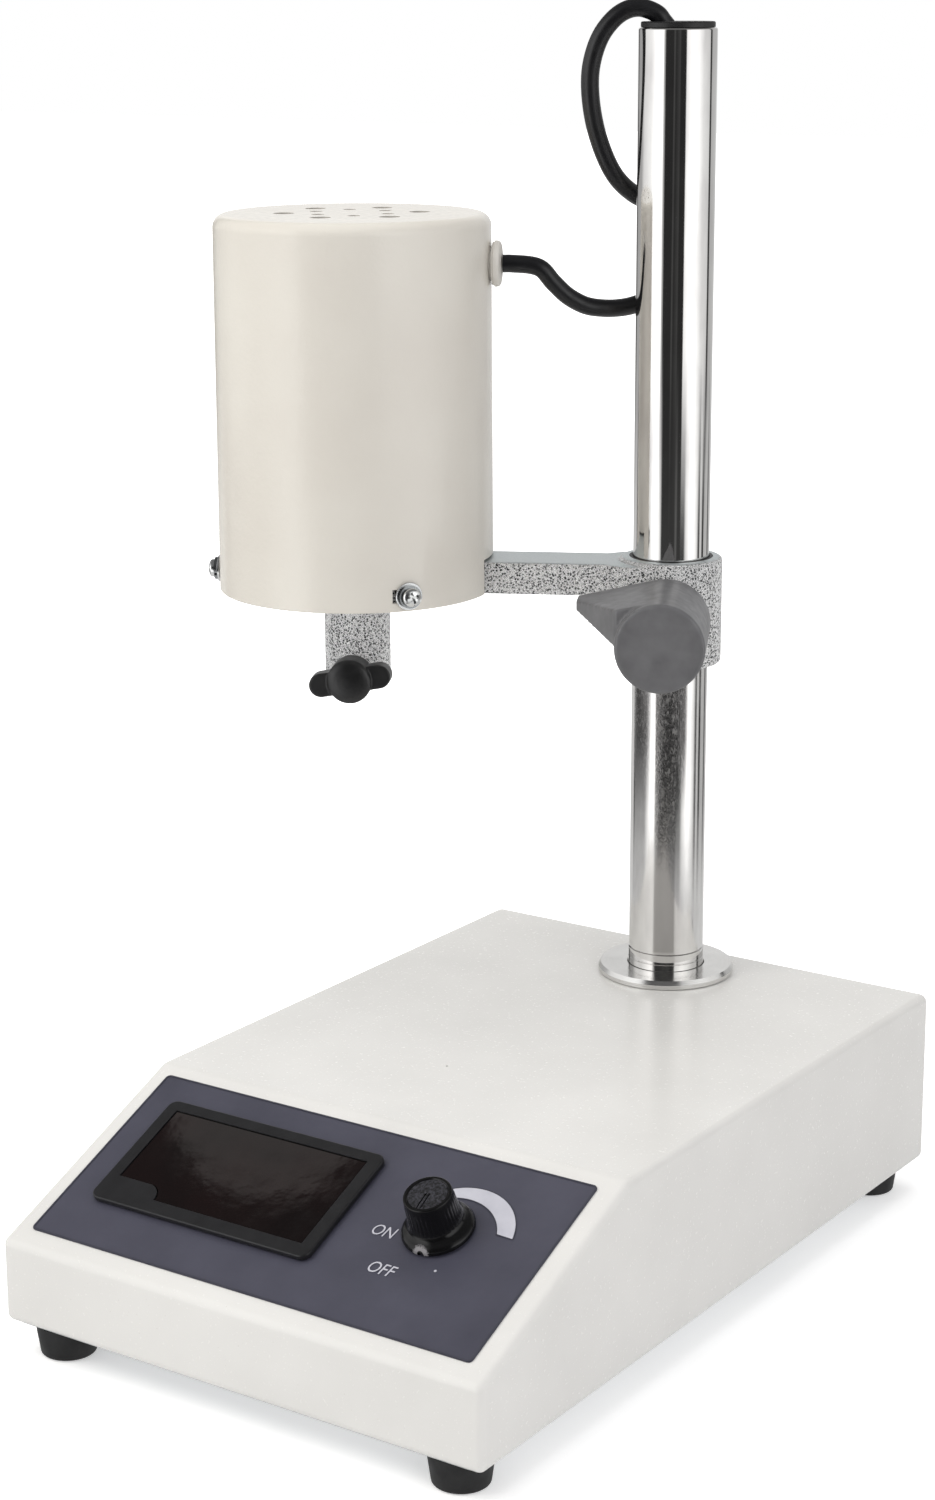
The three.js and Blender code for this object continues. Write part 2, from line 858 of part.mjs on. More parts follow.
function speedKnobShape() {
  const low = labelTop + gap;
  const neck = low + speedKnob.skirtHeight + speedKnob.skirtRise;
  const high = low + speedKnob.height;
  const body = skin([
    fluted(speedKnob.skirtRadius, low, 0),
    fluted(speedKnob.skirtRadius, low + speedKnob.skirtHeight - speedKnob.edge, 0),
    fluted(speedKnob.skirtRadius - speedKnob.edge, low + speedKnob.skirtHeight, 0),
    fluted(speedKnob.waistRadius, neck, speedKnob.fluteDepth),
    fluted(speedKnob.topRadius, high - speedKnob.edge, speedKnob.fluteDepth),
    fluted(speedKnob.topRadius - speedKnob.edge, high, 0),
  ]);
  const bore = rod(potShaft.radius + slip, low - overrun, labelTop + speedKnob.boreTop);
  const nutRoom = rod(speedKnob.nutRoomRadius, low - overrun, low + speedKnob.nutRoomHeight);
  const pointer = block(
    speedKnob.topRadius - speedKnob.edge - speedKnob.pointerLength,
    speedKnob.topRadius - speedKnob.edge,
    -speedKnob.pointerWidth / 2,
    speedKnob.pointerWidth / 2,
    high - speedKnob.pointerDepth,
    high + overrun,
  );
  return cut(body, bore, nutRoom, pointer.rotateZ(speedKnob.pointerAngle));
}

add(slope, "front_label", panelLabel(), materials.slate);
add(slope, "display_bezel", displayBezel(), materials.blackPlastic);
add(slope, "display_window", prism(paneOutline(0), windowBottom, windowTop), materials.smoked);
add(slope, "display_module", displayModule(), materials.blackPlastic);
const knobAxis = place(slope, potX, pot.s, 0);
add(knobAxis, "speed_potentiometer", potentiometer(), materials.steel);
add(knobAxis, "potentiometer_nut", potNutShape(), materials.steel);
add(
  knobAxis,
  "potentiometer_shaft",
  rod(potShaft.radius, -base.wall - pot.bodyDepth + potShaft.bottomInset + gap, potShaft.top),
  materials.aluminium,
);
add(knobAxis, "speed_knob", speedKnobShape(), materials.blackPlastic);

// Inside the base
function controlBoard() {
  const low = plate.thickness + board.standoffHeight + thinGap;
  const high = low + board.thickness;
  const [halfWidth, halfDepth] = [board.width / 2, board.depth / 2];
  const sheet = block(-halfWidth, halfWidth, -halfDepth, halfDepth, low, high);
  const capacitor = rod(board.capacitorRadius, low, high + board.capacitorHeight);
  const choke = revolve(
    [
      [board.chokeRadius / 2, low + board.thickness / 2],
      [board.chokeRadius, low + board.thickness / 2],
      [board.chokeRadius, high + board.chokeHeight],
      [board.chokeRadius / 2, high + board.chokeHeight],
    ],
  );
  const half = board.transformerSide / 2;
  const transformer = block(-half, half, -half, half, low, high + board.transformerHeight);
  const terminal = block(
    -board.terminalLength / 2,
    board.terminalLength / 2,
    halfDepth - board.terminalDepth,
    halfDepth,
    low,
    high + board.terminalHeight,
  );
  const quarterWidth = halfWidth / 2;
  return join(
    sheet,
    capacitor.translate(-quarterWidth, -halfDepth / 3, 0),
    choke.translate(quarterWidth, -halfDepth / 2, 0),
    transformer.translate(0, -halfDepth / 3, 0),
    terminal.translate(-quarterWidth, 0, 0),
  );
}

function heatSinkShape() {
  const low = plate.thickness + board.standoffHeight + board.thickness + 2 * thinGap;
  const [halfWidth, halfDepth] = [heatSink.width / 2, heatSink.depth / 2];
  const sole = block(-halfWidth, halfWidth, -halfDepth, halfDepth, low, low + heatSink.foot);
  const fins = [];
  for (let i = 0; i < heatSink.fins; i++) {
    const left = -halfWidth + ((heatSink.width - heatSink.finThickness) * i) / (heatSink.fins - 1);
    fins.push(block(left, left + heatSink.finThickness, -halfDepth, halfDepth, low, low + heatSink.height));
  }
  return join(sole, ...fins);
}

function mainsInlet() {
  const front = thinGap + inlet.flangeThickness;
  const flangePlate = rectangle(inlet.flangeWidth, inlet.flangeHeight, inlet.flangeThickness / 2);
  const [halfWidth, halfHeight] = [inlet.bodyWidth / 2, inlet.bodyHeight / 2];
  const [mouthWidth, mouthHeight] = [halfWidth - inlet.wall, halfHeight - inlet.wall];
  const mouth = new THREE.Shape();
  mouth.moveTo(-mouthWidth, -mouthHeight);
  mouth.lineTo(mouthWidth, -mouthHeight);
  mouth.lineTo(mouthWidth, mouthHeight - inlet.cornerCut);
  mouth.lineTo(mouthWidth - inlet.cornerCut, mouthHeight);
  mouth.lineTo(-mouthWidth + inlet.cornerCut, mouthHeight);
  mouth.lineTo(-mouthWidth, mouthHeight - inlet.cornerCut);
  mouth.closePath();
  const floor = front - inlet.cavityDepth;
  const body = join(
    softPrism(flangePlate, thinGap, front, inlet.flangeThickness / 4, 4),
    block(-halfWidth, halfWidth, -halfHeight, halfHeight, -inlet.bodyDepth, front / 2),
  );
  const blades = [-1, 0, 1].map((place) =>
    block(
      place * inlet.bladeSpread - inlet.bladeWidth / 2,
      place * inlet.bladeSpread + inlet.bladeWidth / 2,
      -inlet.bladeHeight / 2,
      inlet.bladeHeight / 2,
      floor - inlet.wall / 2,
      floor + inlet.bladeLength,
    ).translate(0, place === 0 ? inlet.bladeLift : -inlet.bladeLift, 0),
  );
  return join(cut(body, prism(mouth, floor, front + overrun)), ...blades);
}

function fuseHolder() {
  return revolve(
    [
      [0, -fuse.bodyLength],
      [fuse.bodyRadius, -fuse.bodyLength],
      [fuse.bodyRadius, thinGap],
      [fuse.flangeRadius, thinGap],
      [fuse.flangeRadius, thinGap + fuse.flangeThickness],
      [0, thinGap + fuse.flangeThickness],
    ],
  );
}

function fuseCap() {
  const low = 2 * thinGap + fuse.flangeThickness;
  const high = low + fuse.capLength;
  const round = arcPoints(fuse.capRadius - fuse.capEdge, high - fuse.capEdge, fuse.capEdge, 0, quarter, 2);
  const body = revolve([[0, low], [fuse.capRadius, low], ...round, [0, high]]);
  const [halfLength, halfWidth] = [fuse.slotLength / 2, fuse.slotWidth / 2];
  const floor = high - fuse.slotDepth;
  return cut(body, block(-halfLength, halfLength, -halfWidth, halfWidth, floor, high + overrun));
}

const boardGroup = place(homogenizer, boardX, board.y, 0);
add(boardGroup, "control_board", controlBoard(), materials.circuit);
const sinkGroup = place(boardGroup, heatSink.x, heatSink.y - heatSink.depth / 2 - board.terminalDepth, 0);
add(sinkGroup, "heat_sink", heatSinkShape(), materials.aluminium);
// In the back panel's groups Z runs out of the panel and Y is up.
const inletGroup = place(back, inletX, 0, inlet.z);
const fuseGroup = place(back, fuseX, 0, fuse.z);
for (const group of [inletGroup, fuseGroup]) group.rotation.set(-quarter, 0, Math.PI);
add(inletGroup, "mains_inlet", mainsInlet(), materials.blackPlastic);
add(fuseGroup, "fuse_holder", fuseHolder(), materials.blackPlastic);
add(fuseGroup, "fuse_cap", fuseCap(), materials.blackPlastic);

// Column
function columnTube() {
  const inner = column.radius - column.wall;
  return revolve([
    [inner, column.bottom],
    [column.radius, column.bottom],
    [column.radius, column.top - column.topChamfer],
    [column.radius - column.topChamfer, column.top],
    [inner, column.top],
  ]);
}

function flangeDisc() {
  const low = base.height + thinGap;
  return revolve(
    [
      [column.radius + slip, low],
      [flange.radius, low],
      [flange.radius, low + flange.thickness - flange.bevel],
      [flange.radius - flange.bevel, low + flange.thickness],
      [column.radius + slip, low + flange.thickness],
    ],
  );
}

function columnNutShape() {
  const high = base.height - base.wall - thinGap;
  const outline = hexagon(columnNut.acrossFlats);
  outline.holes.push(roundHole(column.radius + slip));
  return prism(outline, high - columnNut.thickness, high);
}

// Where the lead goes into the cap, and the way that it leans there, towards the motor
const capHoleOffset = new THREE.Vector3(-3.9, -2.65, 0);
const capHoleTurn = Math.atan2(capHoleOffset.y, capHoleOffset.x);

function capShape() {
  const plugRadius = column.radius - column.wall - slip;
  const low = column.top + thinGap;
  const high = low + columnCap.thickness;
  const body = revolve(
    [
      [0, column.top - columnCap.plugLength],
      [plugRadius, column.top - columnCap.plugLength],
      [plugRadius, low],
      [columnCap.radius, low],
      [columnCap.radius, high - columnCap.edge],
      [columnCap.radius - columnCap.edge, high],
      [0, high],
    ],
  );
  const hole = rod(lead.radius + lead.room, -columnCap.holeDepth, overrun + lead.radius, 12);
  hole.rotateY(quarter - columnCap.holeLean).rotateZ(capHoleTurn);
  return cut(body, hole.translate(capHoleOffset.x, capHoleOffset.y, high));
}

add(columnAxis, "column_flange", flangeDisc(), materials.chrome);
add(columnAxis, "column", columnTube(), materials.chrome);
add(columnAxis, "column_nut", columnNutShape(), materials.steel);
add(columnAxis, "column_cap", capShape(), materials.rubber);

// Clamp bush between the column and the clamp ring
const bushProfile = [
  [column.radius + slip, clampRing.bottom],
  [bushOuter, clampRing.bottom],
  [bushOuter, clampRing.top],
  [column.radius + slip, clampRing.top],
];
add(columnAxis, "clamp_bush", revolve(bushProfile), materials.blackPlastic);

// Bracket: clamp ring, arm and motor plate in one casting
const towardsY = (shape, z) => shape.rotateX(-quarter).translate(0, 0, z);

function clampRingShape() {
  const { bottom, top, edge } = clampRing;
  return revolve(
    [
      [ringInner, bottom],
      ...arcPoints(ringOuter - edge, bottom + edge, edge, -quarter, 0, 2),
      ...arcPoints(ringOuter - edge, top - edge, edge, 0, quarter, 2),
      [ringInner, top],
    ],
  );
}

function armShape() {
  const half = arm.width / 2;
  const root = ringInner + clampRing.wall / 2;
  const end = head.reach - motorPlate.radius + overrun;
  const outline = new THREE.Shape();
  outline.moveTo(0, -ringOuter + arm.edge);
  outline.quadraticCurveTo(root, -ringOuter + arm.edge, root + arm.flare, -half);
  outline.lineTo(end, -half);
  outline.lineTo(end, half);
  outline.lineTo(root + arm.flare, half);
  outline.quadraticCurveTo(root, ringOuter - arm.edge, 0, ringOuter - arm.edge);
  outline.closePath();
  return softPrism(outline, arm.bottom, arm.top, arm.edge, 6);
}

// Tool boss: the socket under the motor plate, which takes the shaft of a tool
function toolBossShape() {
  const top = motorPlate.bottom - thinGap;
  const underPlate = top - boss.fillet;
  const socket = revolve(
    [
      [boss.boreRadius, boss.bottom],
      [boss.radius - boss.edge, boss.bottom],
      [boss.radius, boss.bottom + boss.edge],
      ...arcPoints(boss.radius + boss.fillet, underPlate, boss.fillet, Math.PI, quarter, 3),
      [boss.boreRadius, top],
    ],
  );
  return cut(socket, towardsY(rod(wingStud.radius + slip, 0, boss.radius + overrun), wingKnob.z));
}

const postPlaces = [0, 1, 2, 3].map((i) => (i + 0.5) * quarter);
const boltPlaces = [postPlaces[0], postPlaces[2]];
const around = (shape, angle) => shape.rotateZ(angle);
const onPost = (shape, angle) => around(shape.translate(post.circle, 0, 0), angle);

function bracketShape() {
  const screwBoss = towardsY(rod(clampBoss.radius, ringInner / 2, clampBoss.reach), clampKnob.z);
  const ringBore = rod(ringInner, clampRing.bottom - overrun, clampRing.top + overrun);
  const studHole = towardsY(rod(clampStud.radius + slip, 0, clampBoss.reach + overrun), clampKnob.z);
  const posts = postPlaces.map((angle) =>
    onPost(rod(post.radius, motorPlate.top - overrun, motor.stackBottom - thinGap), angle),
  );
  const boltHoles = boltPlaces.map((angle) =>
    onPost(rod(post.holeRadius, motorBolt.bottom - gap, motor.stackBottom), angle),
  );
  const airSlots = postPlaces.map((angle) =>
    around(
      prism(
        sector(motorPlate.slotInner, motorPlate.slotOuter, motorPlate.slotHalfAngle),
        motorPlate.bottom - overrun,
        motorPlate.top + overrun,
        3,
      ),
      angle + quarter / 2,
    ),
  );
  const bearingFloor = motorPlate.top - lowerBearing.height - slip;
  const shoulder = lowerBearing.radius - overrun;
  const bores = [
    rod(boss.boreRadius, motorPlate.bottom - overrun, bearingFloor),
    rod(shoulder, coupling.top - gap, bearingFloor + thinGap),
    rod(lowerBearing.radius + slip, bearingFloor, motorPlate.top + overrun),
  ];
  const tapped = screwAngles.map((angle) =>
    rod(motorPlate.tappedRadius, motorPlate.radius - motorPlate.tappedDepth, motorPlate.radius + overrun)
      .rotateY(quarter)
      .rotateZ(angle)
      .translate(0, 0, coverScrew.z),
  );
  const disc = rod(motorPlate.radius, motorPlate.bottom, motorPlate.top);
  const motorSide = cut(join(disc, ...posts), ...boltHoles, ...airSlots, ...bores, ...tapped);
  const clampSide = cut(join(clampRingShape(), screwBoss, armShape()), ringBore, studHole);
  return join(clampSide, motorSide.translate(head.reach, 0, 0));
}

add(headGroup, "bracket", bracketShape(), materials.hammertone);
add(motorGroup, "tool_boss", toolBossShape(), materials.hammertone);

// Motor cover: a drawn can with vents, slots for its screws and a notch for the arm
function motorCover() {
  const { radius, topRadius, bottom, top, wall, edgeRadius } = cover;
  const outerEdge = arcPoints(topRadius - edgeRadius, top - edgeRadius, edgeRadius, 0, quarter, 2);
  const innerEdge = arcPoints(topRadius - edgeRadius, top - edgeRadius, edgeRadius - wall, quarter, 0, 1);
  const can = revolve(
    [[radius - wall, bottom], [radius, bottom], ...outerEdge, [0, top], [0, top - wall], ...innerEdge],
  );
  const holes = [];
  for (let i = 0; i < vents.count; i++) {
    const step = (i * turn) / vents.count;
    for (const [circle, size, start] of [
      [vents.innerCircle, vents.innerRadius, vents.innerStart],
      [vents.outerCircle, vents.outerRadius, vents.outerStart],
    ]) {
      const hole = rod(size, top - wall - overrun, top + overrun).translate(circle, 0, 0);
      holes.push(around(hole, start + step));
    }
  }
  const halfSlot = cover.slotHeight / 2;
  const slotHalfAngle = (cover.slotBefore + cover.slotAfter) / 2;
  for (const angle of screwAngles) {
    const outline = sector(radius - wall - overrun, radius + overrun, slotHalfAngle);
    const slot = prism(outline, coverScrew.z - halfSlot, coverScrew.z + halfSlot, 4);
    holes.push(around(slot, angle + (cover.slotAfter - cover.slotBefore) / 2));
  }
  const notchHalf = arm.width / 2 + cover.notchSide;
  const notchTop = arm.top + cover.notchTop;
  const notch = block(-radius - overrun, -radius / 2, -notchHalf, notchHalf, bottom - overrun, notchTop);
  const leadHole = rod(grommet.neckRadius + gap, radius - wall - overrun, radius + overrun);
  return cut(can, ...holes, notch, leadHole.rotateY(-quarter).translate(0, 0, grommet.z));
}

// The grommet's axis is Z here, pointing out of the can, whose outer face is at zero.
function grommetShape() {
  const { radius, rise, neckRadius, backRadius, backThickness, grooveDepth, grooveWidth } = grommet;
  const inside = -cover.wall - grommet.backRoom;
  const lip = rise * (1 - grommet.domeShare);
  return revolve(
    [
      [0, inside - backThickness],
      [backRadius, inside - backThickness],
      [backRadius, inside],
      [neckRadius, inside],
      [neckRadius, gap],
      [radius - grooveDepth, gap],
      [radius - grooveDepth, gap + grooveWidth],
      [radius, gap + grooveWidth],
      [radius, lip + grooveWidth],
      [radius - rise / 2, rise - grooveDepth],
      [lead.radius + rise / 2, rise],
      [0, rise],
    ],
  );
}

add(motorGroup, "motor_cover", motorCover(), materials.coverIvory);
const grommetGroup = place(motorGroup, -cover.radius, 0, grommet.z);
grommetGroup.rotation.y = -quarter;
add(grommetGroup, "cable_grommet", grommetShape(), materials.palePlastic);

// Cover screws with their washers; in each group Z runs outwards along the screw.
const ringShape = (inner, outer, low, high) =>
  revolve([[inner, low], [outer, low], [outer, high], [inner, high]]);
screwAngles.forEach((angle, i) => {
  const radial = place(motorGroup, 0, 0, coverScrew.z);
  radial.rotation.z = angle;
  const screwGroup = place(radial, cover.radius + gap, 0, 0);
  screwGroup.rotation.y = quarter;
  const flatTop = flatWasher.thickness;
  const springLow = flatTop + thinGap;
  const springTop = springLow + springWasher.thickness;
  const headLow = springTop + thinGap;
  const headTop = headLow + coverScrew.headHeight;
  const thread = [[0, -coverScrew.length], [coverScrew.radius, -coverScrew.length]];
  const body = revolve([...thread, ...panHead(coverScrew, headLow)]);
  const [halfLength, halfWidth] = [coverScrew.crossLength / 2, coverScrew.crossWidth / 2];
  const crossFloor = headTop - coverScrew.crossDepth;
  const recess = [0, quarter].map((way) =>
    around(block(-halfLength, halfLength, -halfWidth, halfWidth, crossFloor, headTop + overrun), way),
  );
  const spring = ringShape(springWasher.bore, springWasher.radius, springLow, springTop);
  const splitReach = springWasher.radius + overrun;
  const splitBlock = block(springWasher.bore / 2, splitReach, 0, springWasher.split, 0, headTop);
  const splitCut = around(splitBlock, springWasher.splitAngle);
  const flat = ringShape(flatWasher.bore, flatWasher.radius, 0, flatTop);
  add(screwGroup, `cover_screw_${i + 1}`, cut(body, ...recess), materials.steel);
  add(screwGroup, `spring_washer_${i + 1}`, cut(spring, splitCut), materials.steel);
  add(screwGroup, `flat_washer_${i + 1}`, flat, materials.steel);
});

// Motor
function statorCore() {
  const { stackBottom: low, stackTop: high } = motor;
  const yoke = ringShape(stator.yokeInner, stator.radius, low, high);
  const poles = [0, Math.PI].map((angle) => {
    const shoe = prism(sector(stator.shoeInner, stator.shoeOuter, stator.shoeHalfAngle), low, high, 6);
    const neckInner = (stator.shoeInner + stator.shoeOuter) / 2;
    const neckOuter = (stator.yokeInner + stator.radius) / 2;
    const neck = block(neckInner, neckOuter, -stator.poleHalfWidth, stator.poleHalfWidth, low, high);
    return around(join(shoe, neck), angle);
  });
  const holes = boltPlaces.map((angle) =>
    onPost(rod(post.holeRadius, low - overrun, high + overrun), angle),
  );
  return cut(join(yoke, ...poles), ...holes);
}

function fieldCoil(angle) {
  const low = motor.stackBottom - coil.overhang;
  const high = motor.stackTop + coil.overhang;
  const band = prism(sector(coil.inner, coil.outer, coil.halfAngle), low, high, 6);
  const half = stator.poleHalfWidth + gap;
  const eye = block(0, stator.radius, -half, half, motor.stackBottom - gap, motor.stackTop + gap);
  return around(cut(band, eye), angle);
}

function armatureShape() {
  const { radius, windingRadius, windingHeight } = armature;
  const { stackBottom: low, stackTop: high } = motor;
  const bore = motor.shaftRadius + slip;
  const round = windingHeight / 2;
  const body = revolve(
    [
      [bore, low - windingHeight],
      [windingRadius - round, low - windingHeight],
      [windingRadius, low - round],
      [windingRadius, high + round],
      [windingRadius - round, high + windingHeight],
      [bore, high + windingHeight],
    ],
  );
  const outline = [];
  for (let i = 0; i < armature.slots; i++) {
    const middle = (i * turn) / armature.slots;
    const floor = radius - armature.slotDepth;
    for (const [reach, side] of [[radius, -1], [floor, -1], [floor, 1], [radius, 1]]) {
      const angle = middle + (side * armature.slotWidth) / 2 / reach;
      outline.push(new THREE.Vector2(reach * Math.cos(angle), reach * Math.sin(angle)));
    }
    const tooth = middle + turn / armature.slots / 2;
    outline.push(new THREE.Vector2(radius * Math.cos(tooth), radius * Math.sin(tooth)));
  }
  const core = new THREE.Shape(outline);
  core.holes.push(roundHole(bore));
  return join(body, prism(core, low, high));
}

function commutatorShape() {
  const { radius, bottom, top } = commutator;
  const body = ringShape(motor.shaftRadius + slip, radius, bottom, top);
  const grooves = [];
  for (let i = 0; i < commutator.grooves; i++) {
    const half = commutator.grooveWidth / 2;
    const floor = radius - commutator.grooveDepth;
    const groove = block(floor, radius + overrun, -half, half, bottom - overrun, top + overrun);
    grooves.push(around(groove, (i * turn) / commutator.grooves));
  }
  return cut(body, ...grooves);
}

function motorShaft() {
  const { shaftRadius, journalRadius, shaftBottom, journalBottom, shaftTop } = motor;
  return revolve(
    [
      [0, shaftBottom],
      [shaftRadius, shaftBottom],
      [shaftRadius, journalBottom],
      [journalRadius, journalBottom],
      [journalRadius, shaftTop],
      [0, shaftTop],
    ],
  );
}

function driveCoupling() {
  const { radius, bottom, top, slotWidth, slotDepth } = coupling;
  const sleeve = revolve(
    [
      [0, bottom],
      [radius, bottom],
      [radius, top],
      [motor.shaftRadius + slip, top],
      [motor.shaftRadius + slip, motor.shaftBottom - gap],
      [0, motor.shaftBottom - gap],
    ],
  );
  const half = slotWidth / 2;
  return cut(sleeve, block(-radius * 2, radius * 2, -half, half, bottom - overrun, bottom + slotDepth));
}

function coolingFan() {
  const { radius, hubRadius, bottom, discThickness, height, bladeThickness } = fan;
  const bore = motor.shaftRadius + slip;
  const body = revolve(
    [
      [bore, bottom],
      [radius, bottom],
      [radius, bottom + discThickness],
      [hubRadius, bottom + discThickness],
      [hubRadius, bottom + height],
      [bore, bottom + height],
    ],
  );
  const blades = [];
  for (let i = 0; i < fan.blades; i++) {
    const half = bladeThickness / 2;
    const root = bottom + discThickness / 2;
    const blade = block(hubRadius - half, radius - half, -half, half, root, bottom + height);
    blades.push(around(blade, (i * turn) / fan.blades));
  }
  return join(body, ...blades);
}

// End bracket: two legs, the cup of the upper bearing and the holders of the two brushes
function endBracketShape() {
  const { armWidth, armBottom, armTop, hubRadius, hubBottom, hubTop } = endBracket;
  const { cupRadius, cupTop, boreRadius } = endBracket;
  const half = armWidth / 2;
  const low = motor.stackTop + thinGap;
  const arms = boltPlaces.map((angle) => {
    const bar = block(cupRadius / 2, post.circle, -half, half, armBottom, armTop);
    const leg = rod(post.radius, low, armTop).translate(post.circle, 0, 0);
    return around(join(bar, leg), angle);
  });
  const halfBrush = brush.width / 2;
  const brushTop = (hubBottom + hubTop) / 2;
  const brushes = [0, Math.PI].map((angle) =>
    around(
      block(brush.inner, brush.outer, -halfBrush, halfBrush, hubBottom - brush.height, brushTop),
      angle,
    ),
  );
  const hub = revolve([[0, hubBottom], [hubRadius, hubBottom], [hubRadius, hubTop], [0, hubTop]]);
  const cup = rod(cupRadius, hubBottom, cupTop);
  const pocketFloor = cupTop - upperBearing.height - thinGap;
  const holes = boltPlaces.map((angle) =>
    onPost(rod(post.holeRadius, low - overrun, armTop + overrun), angle),
  );
  return cut(
    join(hub, cup, ...arms, ...brushes),
    rod(boreRadius, hubBottom - overrun, cupTop),
    rod(upperBearing.radius + slip, pocketFloor, cupTop + overrun),
    ...holes,
  );
}

function motorBoltShape() {
  const high = endBracket.armTop + thinGap;
  const { radius, headRadius, headHeight, bottom } = motorBolt;
  const profile = [
    [0, bottom],
    [radius, bottom],
    [radius, high],
    [headRadius, high],
    [headRadius, high + headHeight],
    [0, high + headHeight],
  ];
  return revolve(profile).translate(post.circle, 0, 0);
}

function bearingRing(bearing, top) {
  return ringShape(bearing.bore + slip, bearing.radius, top - bearing.height, top);
}

const lowBearingTop = motorPlate.top - thinGap;
const highBearingTop = endBracket.cupTop;
add(motorGroup, "stator_core", statorCore(), materials.lamination);
add(motorGroup, "field_coil_1", fieldCoil(0), materials.copper);
add(motorGroup, "field_coil_2", fieldCoil(Math.PI), materials.copper);
add(motorGroup, "armature", armatureShape(), materials.lamination);
add(motorGroup, "commutator", commutatorShape(), materials.copper);
add(motorGroup, "motor_shaft", motorShaft(), materials.steel);
add(motorGroup, "drive_coupling", driveCoupling(), materials.steel);
add(motorGroup, "cooling_fan", coolingFan(), materials.blackPlastic);
add(motorGroup, "lower_bearing", bearingRing(lowerBearing, lowBearingTop), materials.steel);
add(motorGroup, "upper_bearing", bearingRing(upperBearing, highBearingTop), materials.steel);
add(motorGroup, "end_bracket", endBracketShape(), materials.aluminium);
boltPlaces.forEach((angle, i) => {
  add(motorGroup, `motor_bolt_${i + 1}`, around(motorBoltShape(), angle), materials.steel);
});

// Clamp knob: a long round grip with one tapered lever
function clampKnobShape() {
  const { radius, rear, front, edge, finReach, finTipLow, finTipHigh, finRootLow, finTangent } = clampKnob;
  const grip = revolve(
    [
      [0, rear],
      [radius - edge, rear],
      [radius, rear + edge],
      ...arcPoints(radius - edge, front - edge, edge, 0, quarter, 2),
      [0, front],
    ],
  );
  const top = [radius * Math.cos(finTangent), radius * Math.sin(finTangent)];
  const face = new THREE.Shape();
  face.moveTo(0, finRootLow);
  face.lineTo(-radius, finRootLow);
  face.lineTo(-finReach, finTipLow);
  face.lineTo(-finReach, finTipHigh);
  face.lineTo(...top);
  face.lineTo(0, top[1] - edge);
  face.closePath();
  const side = new THREE.Shape();
  side.moveTo(-finReach - overrun, rear);
  side.lineTo(0, rear);
  side.lineTo(0, rear + clampKnob.finRootDepth + edge);
  side.lineTo(-radius, rear + clampKnob.finRootDepth);
  side.lineTo(-finReach, rear + clampKnob.finTipDepth);
  side.lineTo(-finReach - overrun, rear + clampKnob.finTipDepth);
  side.closePath();
  const slab = prism(face, rear, front);
  const wedge = prism(side, -radius, radius).rotateX(quarter);
  const bore = rod(clampStud.radius + slip, rear - overrun, rear + clampKnob.boreDepth);
  return cut(join(grip, common(slab, wedge)), bore);
}

const clampStudTip = bushOuter + gap;
add(clampKnobGroup, "clamp_knob", clampKnobShape(), materials.greyPlastic);
add(
  clampKnobGroup,
  "clamp_stud",
  rod(clampStud.radius, clampStudTip, clampKnob.rear + clampKnob.boreDepth - gap),
  materials.steel,
);

// Wing knob of the tool screw
function wingKnobShape() {
  const { hubRadius, rear, hubLength, dome, span, wingHeight, wingStart, wingDepth, boreDepth } = wingKnob;
  const front = rear + hubLength;
  const hub = revolve(
    [
      [0, rear],
      [hubRadius, rear],
      [hubRadius, front - dome],
      [hubRadius - dome / 2, front - dome / 3],
      [hubRadius / 2, front],
      [0, front],
    ],
  );
  const bar = rectangle(span * 2, wingHeight, wingHeight / 2);
  const wings = softPrism(bar, rear + wingStart, rear + wingStart + wingDepth, dome / 2, 6);
  const bore = rod(wingStud.radius + slip, rear - overrun, rear + boreDepth);
  return cut(join(hub, wings), bore).rotateZ(wingKnob.tilt);
}

add(wingKnobGroup, "wing_knob", wingKnobShape(), materials.blackPlastic);
add(
  wingKnobGroup,
  "wing_stud",
  rod(wingStud.radius, boss.boreRadius, wingKnob.rear + wingKnob.boreDepth - gap),
  materials.steel,
);

